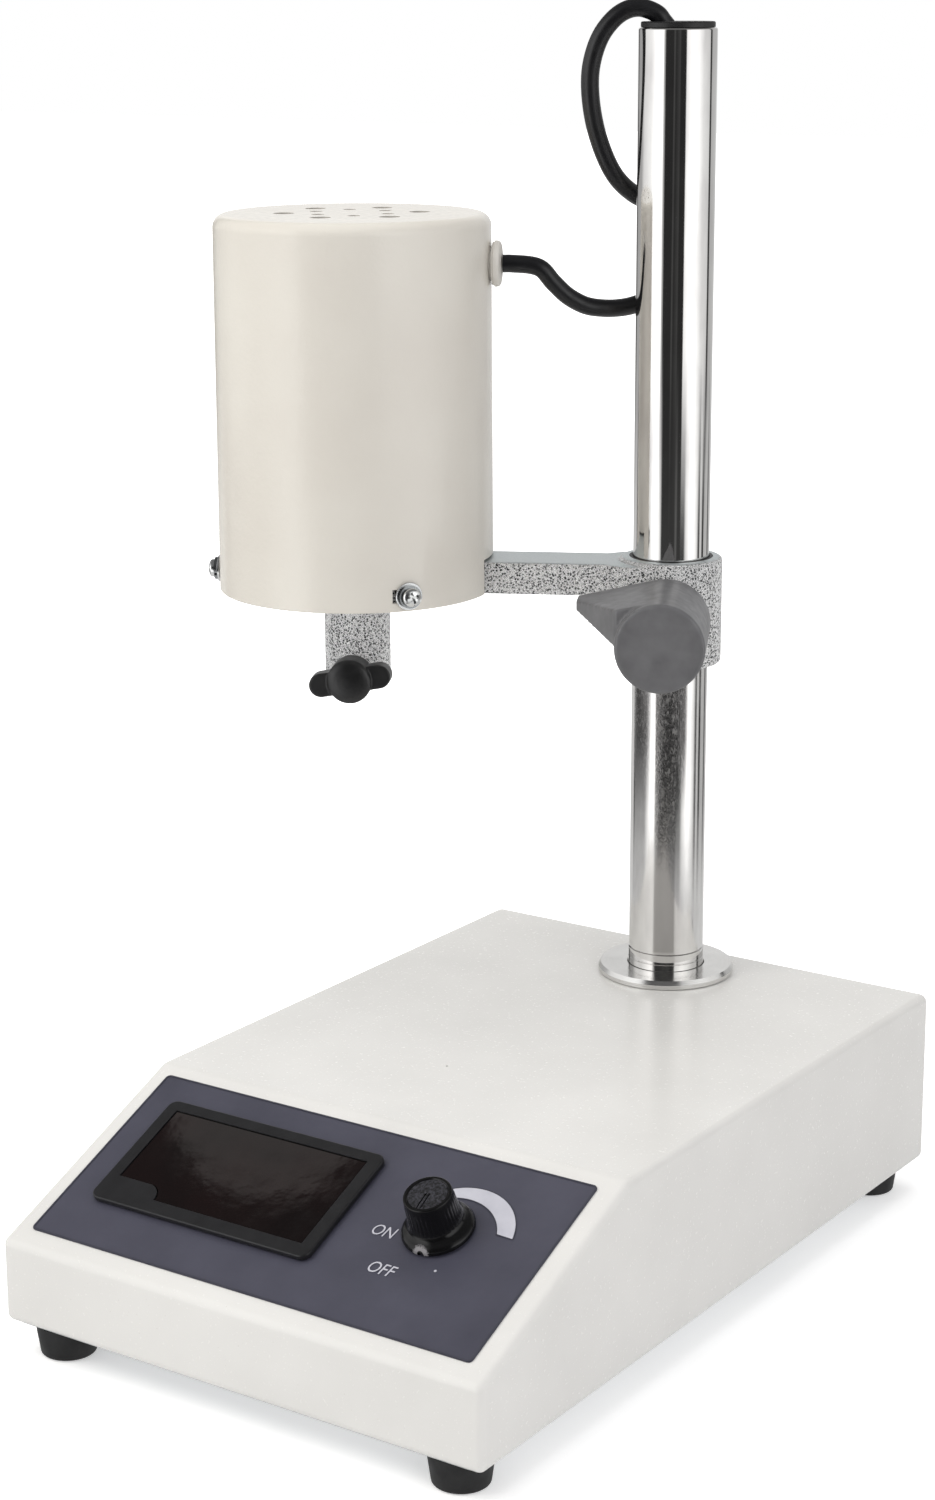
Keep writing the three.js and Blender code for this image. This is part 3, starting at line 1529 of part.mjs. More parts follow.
// Motor lead: from the grommet, behind the column, and over into the cap. Its points are
// measured from the column's axis.
function leadShape() {
  const outwards = new THREE.Vector3(-Math.cos(head.angle), -Math.sin(head.angle), 0);
  const motorAxis = outwards.clone().multiplyScalar(-head.reach).setZ(grommet.z);
  const start = motorAxis.addScaledVector(outwards, cover.radius + grommet.rise + gap);
  const capTop = column.top + thinGap + columnCap.thickness;
  const hole = new THREE.Vector3(capHoleOffset.x, capHoleOffset.y, capTop);
  const lean = new THREE.Vector3(Math.cos(capHoleTurn), Math.sin(capHoleTurn), 0)
    .multiplyScalar(Math.cos(columnCap.holeLean))
    .setZ(Math.sin(columnCap.holeLean));
  const end = hole.clone().addScaledVector(lean, gap - columnCap.holeDepth);
  const route = [
    [-43.1, -23.7, 296.4],
    [-39.4, -21.0, 293.3],
    [-35.6, -17.1, 288.0],
    [-32.2, -13.1, 284.4],
    [-28.4, -8.4, 282.2],
    [-24.9, -3.6, 281.1],
    [-21.9, 1.4, 280.9],
    [-19.0, 6.5, 281.6],
    [-13.6, 12.4, 284.6],
    [-7.4, 15.8, 290.4],
    [-4.6, 17.0, 298.6],
    [-7.4, 15.9, 307.2],
    [-13.4, 10.9, 313.4],
    [-18.4, 4.1, 317.6],
    [-21.8, -1.9, 323.7],
    [-24.8, -7.3, 335.8],
    [-25.4, -11.1, 349.0],
    [-24.1, -12.5, 359.0],
    [-20.5, -11.9, 368.3],
    [-15.2, -9.5, 374.4],
    [-10.4, -6.7, 376.0],
  ].map((point) => new THREE.Vector3(...point));
  const afterStart = start.clone().addScaledVector(outwards, lead.radius);
  const aboveHole = hole.clone().addScaledVector(lean, lead.radius);
  const points = [start, afterStart, ...route, aboveHole, hole, end];
  const curve = new THREE.CatmullRomCurve3(points, false, "centripetal");
  const section = new THREE.Shape();
  for (let i = 0; i < lead.sides; i++) {
    const angle = (i * turn) / lead.sides;
    const [x, y] = [lead.radius * Math.cos(angle), lead.radius * Math.sin(angle)];
    if (i === 0) section.moveTo(x, y);
    else section.lineTo(x, y);
  }
  section.closePath();
  return new THREE.ExtrudeGeometry(section, { steps: lead.steps, extrudePath: curve, bevelEnabled: false });
}

// The instrument stands on the origin: its feet reach down to zero, and the middle of its extent,
// counted without the lead, lies over it.
const extent = new THREE.Box3().setFromObject(homogenizer, true);
const middle = extent.getCenter(new THREE.Vector3());
add(columnAxis, "motor_lead", leadShape(), materials.rubber);
homogenizer.position.set(-middle.x, -middle.y, -extent.min.z);

export default homogenizer;
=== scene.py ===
# Laboratory homogenizer on a sloped control base, dressed for a studio picture.
# Sizes in the dictionaries are millimetres and angles degrees; meshes are made in metres.
import json
import math

import bmesh
import bpy
from mathutils import Matrix, Vector

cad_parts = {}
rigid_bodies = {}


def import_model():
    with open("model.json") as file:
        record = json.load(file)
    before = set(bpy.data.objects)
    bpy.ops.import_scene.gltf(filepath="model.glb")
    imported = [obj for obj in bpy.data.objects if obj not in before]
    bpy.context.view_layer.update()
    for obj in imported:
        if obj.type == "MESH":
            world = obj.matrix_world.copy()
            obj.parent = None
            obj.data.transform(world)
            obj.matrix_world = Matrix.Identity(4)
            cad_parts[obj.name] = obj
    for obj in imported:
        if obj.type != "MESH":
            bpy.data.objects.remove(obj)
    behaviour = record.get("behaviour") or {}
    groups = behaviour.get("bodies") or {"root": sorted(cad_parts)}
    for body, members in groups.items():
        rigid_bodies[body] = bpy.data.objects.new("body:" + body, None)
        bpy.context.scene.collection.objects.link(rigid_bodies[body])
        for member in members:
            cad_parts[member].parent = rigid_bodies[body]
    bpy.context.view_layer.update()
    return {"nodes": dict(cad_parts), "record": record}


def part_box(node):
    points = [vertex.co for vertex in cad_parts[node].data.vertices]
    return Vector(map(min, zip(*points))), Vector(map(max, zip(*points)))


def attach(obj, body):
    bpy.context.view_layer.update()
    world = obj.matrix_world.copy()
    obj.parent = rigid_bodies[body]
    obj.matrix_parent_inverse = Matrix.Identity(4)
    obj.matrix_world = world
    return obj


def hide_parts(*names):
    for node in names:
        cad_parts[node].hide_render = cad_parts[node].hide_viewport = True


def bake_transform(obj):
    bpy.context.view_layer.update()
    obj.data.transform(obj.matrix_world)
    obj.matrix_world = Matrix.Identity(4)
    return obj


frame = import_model()
mm = 0.001
fullTurn = math.tau
slotOf = {part["node"]: part["material_slot"] for part in frame["record"]["subparts"]}
print("frame loaded:", len(frame["nodes"]), "nodes")


# places, taken from the frame
def boxCentre(node):
    low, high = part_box(node)
    return (Vector(low) + Vector(high)) / 2


caseLow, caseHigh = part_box("base_shell")
baseOrigin = (caseLow + caseHigh) / 2  # the middle of the base's underside
baseOrigin.z = caseLow.z
columnXY, motorXY = boxCentre("column"), boxCentre("motor_shaft")
columnXY.z = motorXY.z = baseOrigin.z
armDirection = (motorXY - columnXY).normalized()
armAngle = math.atan2(armDirection.y, armDirection.x)
headOutward = Vector((-armDirection.y, armDirection.x, 0))  # the way that both knobs point
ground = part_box("foot_front_left")[0].z
overrun = 2  # how far a cutter stands past what it cuts

caseSizes = {
    "width": 171,
    "depth": 265.5,
    "height": 58.3,
    "frontHeight": 25.9,
    "slopeRun": 74.8,
    "wall": 1.6,
    "bendBottom": 2.6,
    "bendRear": 3.5,
    "bendSlopeTop": 8,
    "bendFront": 3.2,
    "sideEdge": 2.4,
}
slopeAngle = math.atan2(caseSizes["height"] - caseSizes["frontHeight"], caseSizes["slopeRun"])
millimetres = Matrix.Scale(mm, 4)


def axisPlace(origin, angle=0.0):
    return Matrix.Translation(origin) @ Matrix.Rotation(angle, 4, "Z") @ millimetres


def outwardPlace(origin, outward):  # local Z runs outwards and local Y is up
    upward = Vector((0, 0, 1))
    axes = Matrix((upward.cross(outward), upward, outward)).transposed().to_4x4()
    return Matrix.Translation(origin) @ axes @ millimetres


def baseAt(x, y, z):
    return baseOrigin + Vector((x, y, z)) * mm


def columnAt(x, y, z):
    return columnXY + Vector((x, y, z)) * mm


def motorAt(x, y, z):
    return motorXY + Vector((x, y, z)) * mm


worldPlace = axisPlace(baseOrigin)
columnPlace = axisPlace(columnXY)
headPlace = axisPlace(columnXY, armAngle)
motorPlace = axisPlace(motorXY, armAngle)
slopeOrigin = baseAt(0, -caseSizes["depth"] / 2, caseSizes["frontHeight"])
slopePlace = Matrix.Translation(slopeOrigin) @ Matrix.Rotation(slopeAngle, 4, "X") @ millimetres


# camera, at the photograph's angle
cameraSizes = {
    "lens": 70.92,
    "sensor": 36.0,
    "position": (484.46, -719.99, 386.29),
    "azimuth": 34.43,
    "elevation": 14.71,
    "roll": -0.247,
    "clipStart": 10,
}


def makeCamera():
    data = bpy.data.cameras.new("studioCamera")
    data.sensor_fit = "VERTICAL"
    data.sensor_height = cameraSizes["sensor"]
    data.lens = cameraSizes["lens"]
    data.clip_start = cameraSizes["clipStart"] * mm
    camera = bpy.data.objects.new("studioCamera", data)
    bpy.context.scene.collection.objects.link(camera)
    azimuth = math.radians(cameraSizes["azimuth"])
    elevation = math.radians(cameraSizes["elevation"])
    behind = Vector(
        (
            math.sin(azimuth) * math.cos(elevation),
            -math.cos(azimuth) * math.cos(elevation),
            math.sin(elevation),
        )
    )
    right = Vector((math.cos(azimuth), math.sin(azimuth), 0))
    roll = Matrix.Rotation(math.radians(cameraSizes["roll"]), 3, behind)
    right.rotate(roll)
    axes = Matrix((right, behind.cross(right), behind)).transposed().to_4x4()
    camera.matrix_world = Matrix.Translation(baseAt(*cameraSizes["position"])) @ axes
    bpy.context.scene.camera = camera


makeCamera()
print("camera placed")


# mesh tools
def arcPoints(x, y, radius, start, end, steps):
    points = []
    for i in range(steps + 1):
        angle = math.radians(start + (end - start) * i / steps)
        points.append((x + radius * math.cos(angle), y + radius * math.sin(angle)))
    return points


def softCorners(corners, radius, steps=8):  # a corner is (x, y) or (x, y, its own radius)
    points = []
    for i, corner in enumerate(corners):
        here = Vector(corner[:2])
        own = corner[2] if len(corner) > 2 else radius
        if own <= 0:
            points.append(tuple(here))
            continue
        before = (Vector(corners[i - 1][:2]) - here).normalized()
        after = (Vector(corners[(i + 1) % len(corners)][:2]) - here).normalized()
        half = before.angle(after) / 2
        middle = here + (before + after).normalized() * own / math.sin(half)
        first = here + before * own / math.tan(half) - middle
        last = here + after * own / math.tan(half) - middle
        start = math.atan2(first.y, first.x)
        sweep = (math.atan2(last.y, last.x) - start + math.pi) % fullTurn - math.pi
        arc = arcPoints(middle.x, middle.y, own, math.degrees(start), math.degrees(start + sweep), steps)
        points.extend(arc)
    return points


def rectangle(width, height, radius, x=0, y=0, steps=8):
    left, right, low, high = x - width / 2, x + width / 2, y - height / 2, y + height / 2
    return softCorners([(left, low), (right, low), (right, high), (left, high)], radius, steps)


def lathe(profile, steps=96):  # profile of (radius, height), closed or ending on the axis
    shape = bmesh.new()
    rings = []
    closed = profile[0] == profile[-1]
    for radius, height in profile[:-1] if closed else profile:
        if radius == 0:
            rings.append([shape.verts.new((0, 0, height))])
            continue
        angles = [fullTurn * k / steps for k in range(steps)]
        rings.append([shape.verts.new((radius * math.cos(a), radius * math.sin(a), height)) for a in angles])
    pairs = list(zip(rings, rings[1:]))
    if closed:
        pairs.append((rings[-1], rings[0]))
    for low, high in pairs:
        for k in range(steps):
            after = (k + 1) % steps
            corners = [low[k % len(low)], low[after % len(low)], high[after % len(high)], high[k % len(high)]]
            distinct = list(dict.fromkeys(corners))
            if len(distinct) > 2:
                shape.faces.new(distinct)
    bmesh.ops.recalc_face_normals(shape, faces=shape.faces)
    return shape


def prism(outline, low, high):
    shape = bmesh.new()
    bottom = [shape.verts.new((x, y, low)) for x, y in outline]
    top = [shape.verts.new((x, y, high)) for x, y in outline]
    shape.faces.new(bottom[::-1])
    shape.faces.new(top)
    for i in range(len(outline)):
        after = (i + 1) % len(outline)
        shape.faces.new((bottom[i], bottom[after], top[after], top[i]))
    bmesh.ops.recalc_face_normals(shape, faces=shape.faces)
    return shape


def rod(radius, low, high, steps=48):
    return lathe([(0, low), (radius, low), (radius, high), (0, high)], steps)


def block(left, right, front, back, low, high):
    return prism([(left, front), (right, front), (right, back), (left, back)], low, high)


def moved(shape, matrix):
    bmesh.ops.transform(shape, matrix=matrix, verts=shape.verts)
    return shape


def shifted(shape, x=0, y=0, z=0):
    return moved(shape, Matrix.Translation((x, y, z)))


def turned(shape, angle, axis="Z"):
    return moved(shape, Matrix.Rotation(math.radians(angle), 4, axis))


def merged(shapes):
    whole = bmesh.new()
    for shape in shapes:
        part = bpy.data.meshes.new("part")
        shape.to_mesh(part)
        shape.free()
        whole.from_mesh(part)
        bpy.data.meshes.remove(part)
    return whole


def objectFrom(name, shape, place=worldPlace):
    moved(shape, place)
    mesh = bpy.data.meshes.new(name)
    shape.to_mesh(mesh)
    shape.free()
    obj = bpy.data.objects.new(name, mesh)
    bpy.context.scene.collection.objects.link(obj)
    return obj


def settled(obj):  # bakes the modifiers into the mesh
    bpy.context.view_layer.update()
    depsgraph = bpy.context.evaluated_depsgraph_get()
    mesh = bpy.data.meshes.new_from_object(obj.evaluated_get(depsgraph))
    obj.modifiers.clear()
    old = obj.data
    obj.data = mesh
    bpy.data.meshes.remove(old)
    return obj


def boolean(obj, other, operation="DIFFERENCE"):  # other is an object, or a shape in its place
    cutter = other
    if isinstance(other, bmesh.types.BMesh):
        cutter = objectFrom("cutter", other, Matrix.Identity(4))
    modifier = obj.modifiers.new("boolean", "BOOLEAN")
    modifier.object = cutter
    modifier.operation = operation
    modifier.solver = "EXACT"
    settled(obj)
    mesh = cutter.data
    bpy.data.objects.remove(cutter)
    bpy.data.meshes.remove(mesh)
    return obj


def cutAway(obj, shapes, place=worldPlace):
    for shape in shapes:
        boolean(obj, moved(shape, place))
    return obj


def joinTo(obj, shapes, place=worldPlace):
    for shape in shapes:
        boolean(obj, moved(shape, place), "UNION")
    return obj


def softened(obj, width, segments=3, angle=32):
    modifier = obj.modifiers.new("bevel", "BEVEL")
    modifier.width = width * mm
    modifier.segments = segments
    modifier.limit_method = "ANGLE"
    modifier.angle_limit = math.radians(angle)
    modifier.harden_normals = False
    return settled(obj)


def shaded(obj, angle=32):
    shape = bmesh.new()
    shape.from_mesh(obj.data)
    limit = math.radians(angle)
    for edge in shape.edges:
        edge.smooth = len(edge.link_faces) == 2 and edge.calc_face_angle(0) < limit
    for face in shape.faces:
        face.smooth = True
    shape.to_mesh(obj.data)
    shape.free()
    return obj


def dressed(obj, material, body, replaced=(), slotName=None, angle=32):
    shaded(obj, angle)
    flatter = obj.modifiers.new("weighted", "WEIGHTED_NORMAL")
    flatter.keep_sharp = True
    settled(obj)
    obj.data.materials.clear()
    obj.data.materials.append(material)
    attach(obj, body)
    if replaced:
        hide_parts(*replaced)
    slotName or slotOf[replaced[0]]
    return obj


# node tools
def addNode(tree, kind, inputs=(), output=0, stops=(), **settings):  # gives one of the node's outputs
    made = tree.nodes.new(kind)
    for key, value in settings.items():
        setattr(made, key, value)
    for key, value in inputs.items() if isinstance(inputs, dict) else enumerate(inputs):
        for one in value if isinstance(value, list) else [value]:  # a list is for a socket that takes several
            if isinstance(one, bpy.types.NodeSocket):
                tree.links.new(one, made.inputs[key])
            else:
                made.inputs[key].default_value = one
    if stops:  # a colour ramp's places and colours
        elements = made.color_ramp.elements
        while len(elements) > 1:
            elements.remove(elements[-1])
        elements[0].position, elements[0].color = stops[0]
        for position, colour in stops[1:]:
            elements.new(position).color = colour
    return made.outputs[output] if len(made.outputs) else None


def linear(code):  # an sRGB hex colour as a shader colour
    values = [int(code[i : i + 2], 16) / 255 for i in (1, 3, 5)]
    return (*[v / 12.92 if v <= 0.04045 else ((v + 0.055) / 1.055) ** 2.4 for v in values], 1.0)


def grain(size):  # noise scale, in object coordinates, for a cell of that many millimetres
    return 1 / (size * mm)


def tones(low, high, span=(0.3, 0.7)):  # stops of a colour ramp between two colours
    return [(span[0], linear(low)), (span[1], linear(high))]


class Surface:  # one material: its node tree, its shader and its object coordinates
    def __init__(self, name, values):
        self.material = bpy.data.materials.new(name)
        self.material.use_nodes = True
        self.tree = self.material.node_tree
        self.tree.nodes.clear()
        shown = self.add("ShaderNodeBsdfPrincipled", values)
        self.shader = shown.node
        self.add("ShaderNodeOutputMaterial", {"Surface": shown})
        self.place = self.add("ShaderNodeTexCoord", output="Object")

    def add(self, kind, inputs=(), output=0, **settings):
        return addNode(self.tree, kind, inputs, output, **settings)

    def cloudy(self, size, detail, low, high, span=(0.3, 0.7)):  # a colour that drifts between two
        cloud = self.add("ShaderNodeTexNoise", {"Vector": self.place, "Scale": grain(size), "Detail": detail})
        return self.add("ShaderNodeValToRGB", [cloud], stops=tones(low, high, span))

    def uneven(self, size, detail, low, high, span=(0.3, 0.7)):  # a gloss that drifts between two
        cloud = self.add("ShaderNodeTexNoise", {"Vector": self.place, "Scale": grain(size), "Detail": detail})
        return self.add("ShaderNodeMapRange", [cloud, *span, low, high])

    def peel(self, size, detail, depth, strength, under=None):  # fine relief, on that of a coarser one
        lumps = self.add("ShaderNodeTexNoise", {"Vector": self.place, "Scale": grain(size), "Detail": detail})
        inputs = {"Height": lumps, "Distance": depth * mm, "Strength": strength}
        if under:
            inputs["Normal"] = under
        return self.add("ShaderNodeBump", inputs)

    def finish(self, colour, roughness, normal):
        given = {"Base Color": colour, "Roughness": roughness, "Normal": normal}
        for name, socket in given.items():
            if socket:
                self.tree.links.new(socket, self.shader.inputs[name])
        return self.material


columnSizes = {
    "radius": 12.5,
    "bore": 11,
    "bottom": 42,
    "beads": ((61.2, 63.7, 0.2), (63.9, 67.1, 0.2)),  # low, high and rise of the neck's two rings
    "joint": (67.1, 67.5, 0.25),
    "beadEdge": 0.15,
    "jointEdge": 0.12,
    "mouthEdge": 0.3,
    "reflectionAndWearRise": (96, 156),  # the heights between which the stripes turn from painted grey to painted dark reflection, and their grit and relief grow
    "reflectionAndWearFade": (10, 12),  # over the upper height the stripes' painted reflection and their wear fade out here
    "wearAndReflection": ((-1, 16, 1.5), (-44, 15, 5), (23, 7, 3)),  # stripes of wear and painted reflection: turn from the screw's side, half width, softness
    "upperStripes": (-40, -14),  # under the upper height the second and third stripe of painted dark reflection fade in here
    "patterns": {  # cell size, detail, upright squeeze and roughness
        "grit": (0.75, 4, 0.4, 0.7),
        "patchy": (9, 3, 0.3, 0.6),
        "hairs": (0.5, 3, 0.03, 0.7),
    },
    "top": 369.95,
    "chamfer": 0.8,
    "sides": 160,
    "flangeRadius": 22.8,
    "flangeLow": 58.4,
    "flangeTop": 61.4,
    "flangeBevel": 1.4,
    "flangeEdge": 0.25,
    "flangeGap": 0.3,  # between its bore and the tube
    "capRadius": 11.75,
    "capLow": 370.05,
    "capTop": 371.75,
    "capEdge": 0.5,
    "plugRadius": 10.7,
    "plugLow": 360.95,
    "capHole": 3.4,
    "bush": (12.7, 13.5, 166, 201.5),
}


# materials: each starts from what the real one is
def powderCoat():  # off-white powder coat on folded steel, with a fine orange peel
    surface = Surface("powderCoat", {"Roughness": 0.35})
    dust = surface.add("ShaderNodeTexNoise", {"Vector": surface.place, "Scale": grain(0.8), "Detail": 1})
    speck = surface.add("ShaderNodeMapRange", [dust, 0.76, 0.82, 0, 0.6])
    inputs = {0: speck, 6: surface.cloudy(38, 3, "#DDDCD9", "#E3E2DF"), 7: linear("#CDCAC4")}
    tone = surface.add("ShaderNodeMix", inputs, 2, data_type="RGBA")
    relief = surface.peel(9, 2, 0.05, 0.3, surface.peel(1.6, 1, 0.012, 0.5))
    return surface.finish(tone, surface.uneven(0.9, 3, 0.2, 0.28), relief)


def coverEnamel():  # warm ivory stoving enamel on a drawn can: glossy, with a lumpy orange peel
    surface = Surface("coverEnamel", {"Roughness": 0.24})
    add, place = surface.add, surface.place
    facing = add("ShaderNodeNewGeometry", output="Normal")
    upward = add("ShaderNodeSeparateXYZ", [facing], "Z")
    strength = add("ShaderNodeMapRange", [upward, 0.4, 0.9, 0.6, 0.06])  # the top lies smoother
    lumps = add("ShaderNodeTexNoise", {"Vector": place, "Scale": grain(1.5), "Detail": 2, "Roughness": 0.55})
    first = add("ShaderNodeBump", {"Height": lumps, "Distance": 0.12 * mm, "Strength": strength})
    upright = add("ShaderNodeMapping", {"Vector": place, "Scale": (1, 1, 0.4)})
    waves = add("ShaderNodeTexNoise", {"Vector": upright, "Scale": grain(14), "Detail": 2})
    inputs = {"Height": waves, "Distance": 0.12 * mm, "Strength": 0.25, "Normal": first}
    relief = add("ShaderNodeBump", inputs)
    tone = surface.cloudy(45, 2, "#D8D3CA", "#DEDAD1")
    return surface.finish(tone, surface.uneven(2.2, 3, 0.17, 0.26), relief)


def hammertone():  # silver hammer-finish paint on a casting; faces that look up lie smoother and are paler; the relief carries painted shade in its hollows and painted glints on its crests, and the rounded edges a painted highlight
    surface = Surface("hammertone", {"Metallic": 0.75})
    add, place = surface.add, surface.place
    inputs = {"Vector": place, "Scale": grain(0.8), "Smoothness": 0.2, "Randomness": 1.0}
    cells = add("ShaderNodeTexVoronoi", inputs, "Distance", feature="SMOOTH_F1")
    inputs = {"Vector": place, "Scale": grain(0.5), "Detail": 3, "Roughness": 0.62, "Distortion": 1.4}
    crinkle = add("ShaderNodeTexNoise", inputs)
    finer = add("ShaderNodeMath", [crinkle, 1.1], operation="MULTIPLY")
    height = add("ShaderNodeMath", [cells, finer], operation="ADD")
    facing = add("ShaderNodeNewGeometry", output="Normal")
    upward = add("ShaderNodeSeparateXYZ", [facing], "Z")
    smoothness = add("ShaderNodeMapRange", [upward, 0.8, 0.97, 0, 1])
    # the paint's own mottle, with painted shade in the hollows of the relief and painted glints, up to white,
    # on its crests
    depths = [(0.76, "#1E2022"), (0.87, "#8C8E8F"), (0.96, "#ECECEC"), (1.04, "#FFFFFF")]
    crinkleShadeAndGlint = add("ShaderNodeValToRGB", [height], stops=[(depth, linear(code)) for depth, code in depths])
    pale = add("ShaderNodeValToRGB", [crinkle], stops=tones("#CBD3D5", "#E4E9EA"))
    painted = add("ShaderNodeMix", {0: smoothness, 6: crinkleShadeAndGlint, 7: pale}, 2, data_type="RGBA")
    lean = add("ShaderNodeMath", [upward, 0.62], operation="SUBTRACT")
    edge = add("ShaderNodeMath", [lean], operation="ABSOLUTE")
    paintedEdgeHighlight = add("ShaderNodeMapRange", [edge, 0.1, 0.26, 0.75, 0])  # a painted highlight on the rounded edges
    tone = add("ShaderNodeMix", {0: paintedEdgeHighlight, 6: painted, 7: linear("#FBFCFC")}, 2, data_type="RGBA")
    roughness = add("ShaderNodeMapRange", [smoothness, 0, 1, 0.15, 0.42])
    strength = add("ShaderNodeMapRange", [smoothness, 0, 1, 1.0, 0.16])
    relief = add("ShaderNodeBump", {"Height": height, "Distance": 0.45 * mm, "Strength": strength})
    return surface.finish(tone, roughness, relief)


def metalFinish(name, low, high, roughLow, roughHigh, size, depth, stretch=(1, 1, 1)):
    surface = Surface(name, {"Metallic": 1.0, "Roughness": (roughLow + roughHigh) / 2})
    drawn = surface.add("ShaderNodeMapping", {"Vector": surface.place, "Scale": stretch})
    inputs = {"Vector": drawn, "Scale": grain(size), "Detail": 4, "Roughness": 0.6}
    grained = surface.add("ShaderNodeTexNoise", inputs)
    roughness = surface.add("ShaderNodeMapRange", [grained, 0.3, 0.7, roughLow, roughHigh])
    relief = surface.add("ShaderNodeBump", {"Height": grained, "Distance": depth * mm, "Strength": 0.5})
    return surface.finish(surface.cloudy(size * 9, 3, low, high), roughness, relief)


def columnChrome():  # hard chrome on a ground tube; below the clamp its screw and bush have rubbed it rough and gritty, and stripes along it are painted dark and grey reflections of the studio
    surface = Surface("columnChrome", {"Metallic": 1.0, "Roughness": 0.06})
    add, place = surface.add, surface.place
    fromAxis = add("ShaderNodeVectorMath", [place, columnXY], operation="SUBTRACT")
    flatways = add("ShaderNodeVectorMath", [fromAxis, (1, 1, 0)], operation="MULTIPLY")
    outward = add("ShaderNodeVectorMath", [flatways], operation="NORMALIZE")
    stripes = []  # bands along the tube, by their turn from the clamp screw's side: rubbed grit and painted reflection
    for turn, half, soft in columnSizes["wearAndReflection"]:
        way = headOutward.copy()
        way.rotate(Matrix.Rotation(math.radians(turn), 3, "Z"))
        facing = add("ShaderNodeVectorMath", [outward, way], "Value", operation="DOT_PRODUCT")
        low, high = math.cos(math.radians(half + soft)), math.cos(math.radians(half - soft))
        stripes.append(add("ShaderNodeMapRange", [facing, low, high, 0, 1]))

    height = add("ShaderNodeSeparateXYZ", [place], "Z")
    bottom, top = (baseOrigin.z + z * mm for z in columnSizes["reflectionAndWearRise"])
    neck = baseOrigin.z + columnSizes["joint"][1] * mm
    overNeck = add("ShaderNodeMapRange", [height, neck, neck + mm, 0, 1])
    underClamp = add("ShaderNodeMapRange", [height, *(top + z * mm for z in columnSizes["reflectionAndWearFade"]), 1, 0])
    within = add("ShaderNodeMath", [overNeck, underClamp], operation="MULTIPLY")
    rising = add("ShaderNodeMapRange", [height, bottom, top, 0, 1])
    above = add("ShaderNodeMath", [rising, within], operation="MULTIPLY")

    noises = {}
    for name, (size, detail, squeeze, roughness) in columnSizes["patterns"].items():
        upright = add("ShaderNodeMapping", {"Vector": place, "Scale": (1, 1, squeeze)})
        inputs = {"Vector": upright, "Scale": grain(size), "Detail": detail, "Roughness": roughness}
        noises[name] = add("ShaderNodeTexNoise", inputs)
    grit, patchy, hairs = noises["grit"], noises["patchy"], noises["hairs"]

    wearAndReflection = add("ShaderNodeMath", [stripes[0], within], operation="MULTIPLY")
    upper = add("ShaderNodeMapRange", [height, *(top + z * mm for z in columnSizes["upperStripes"]), 0, 1])
    nearClamp = add("ShaderNodeMath", [upper, within], operation="MULTIPLY")
    beside = add("ShaderNodeMath", stripes[1:], operation="MAXIMUM")
    second = add("ShaderNodeMath", [beside, nearClamp], operation="MULTIPLY")
    halfPatchy = add("ShaderNodeMath", [patchy, 0.5], operation="MULTIPLY")
    mixedGrit = add("ShaderNodeMath", [grit, halfPatchy], operation="ADD")
    gritty = add("ShaderNodeMapRange", [mixedGrit, 0.66, 0.78, 0, 1])

    # painted reflection: the stripes are painted dark as the dark studio would look in them, rising with
    # height and broken by the grit
    paintedDarkRising = add("ShaderNodeMath", [wearAndReflection, above], operation="MULTIPLY")
    firstShade = add("ShaderNodeMapRange", [gritty, 0, 1, 0.45, 1])
    firstDark = add("ShaderNodeMath", [paintedDarkRising, firstShade], operation="MULTIPLY")
    secondShade = add("ShaderNodeMapRange", [gritty, 0, 1, 0.85, 1])
    secondDark = add("ShaderNodeMath", [second, secondShade], operation="MULTIPLY")
    bothDark = add("ShaderNodeMath", [firstDark, secondDark], operation="MAXIMUM")

    sharp = add("ShaderNodeMapRange", [grit, 0.5, 0.6, 0, 1])
    fewer = add("ShaderNodeMath", [second, 0.4], operation="MULTIPLY")
    speckled = add("ShaderNodeMath", [wearAndReflection, fewer], operation="MAXIMUM")
    flecks = add("ShaderNodeMath", [sharp, speckled], operation="MULTIPLY")
    denser = add("ShaderNodeMath", [above, 0.6], operation="POWER")
    specks = add("ShaderNodeMath", [flecks, denser], operation="MULTIPLY")
    spared = add("ShaderNodeMapRange", [specks, 0, 1, 1, 0.25])
    dark = add("ShaderNodeMath", [bothDark, spared], operation="MULTIPLY")

    # painted reflection: the first stripe is painted grey, and the painted dark is laid over it nearly black
    tone = add("ShaderNodeValToRGB", [patchy], stops=tones("#CFCDCC", "#E2E1DF", (0.35, 0.65)))
    grey = add("ShaderNodeMath", [wearAndReflection, 0.8], operation="MULTIPLY")
    paintedGrey = add("ShaderNodeMix", {0: grey, 6: tone, 7: linear("#A9A7A6")}, 2, data_type="RGBA")
    darkest = add("ShaderNodeMath", [dark, 0.92], operation="MULTIPLY")
    colour = add("ShaderNodeMix", {0: darkest, 6: paintedGrey, 7: linear("#2A2727")}, 2, data_type="RGBA")

    patchyDull = add("ShaderNodeMapRange", [patchy, 0.3, 0.7, 0.03, 0.12])
    dull = add("ShaderNodeMath", [within, patchyDull], operation="MULTIPLY")
    speckDull = add("ShaderNodeMath", [specks, 0.4], operation="MULTIPLY")
    duller = add("ShaderNodeMath", [dull, speckDull], operation="ADD")
    polish = add("ShaderNodeMapRange", [hairs, 0.3, 0.7, 0.03, 0.08])
    roughness = add("ShaderNodeMath", [duller, polish], operation="ADD")

    first = add("ShaderNodeBump", {"Height": hairs, "Distance": 0.003 * mm, "Strength": 0.5})
    anyRubbed = add("ShaderNodeMath", [wearAndReflection, second], operation="MAXIMUM")
    deeper = add("ShaderNodeMapRange", [above, 0, 1, 0.04, 0.8])
    strength = add("ShaderNodeMath", [anyRubbed, deeper], operation="MULTIPLY")
    inputs = {"Height": grit, "Distance": 0.26 * mm, "Strength": strength, "Normal": first}
    return surface.finish(colour, roughness, add("ShaderNodeBump", inputs))


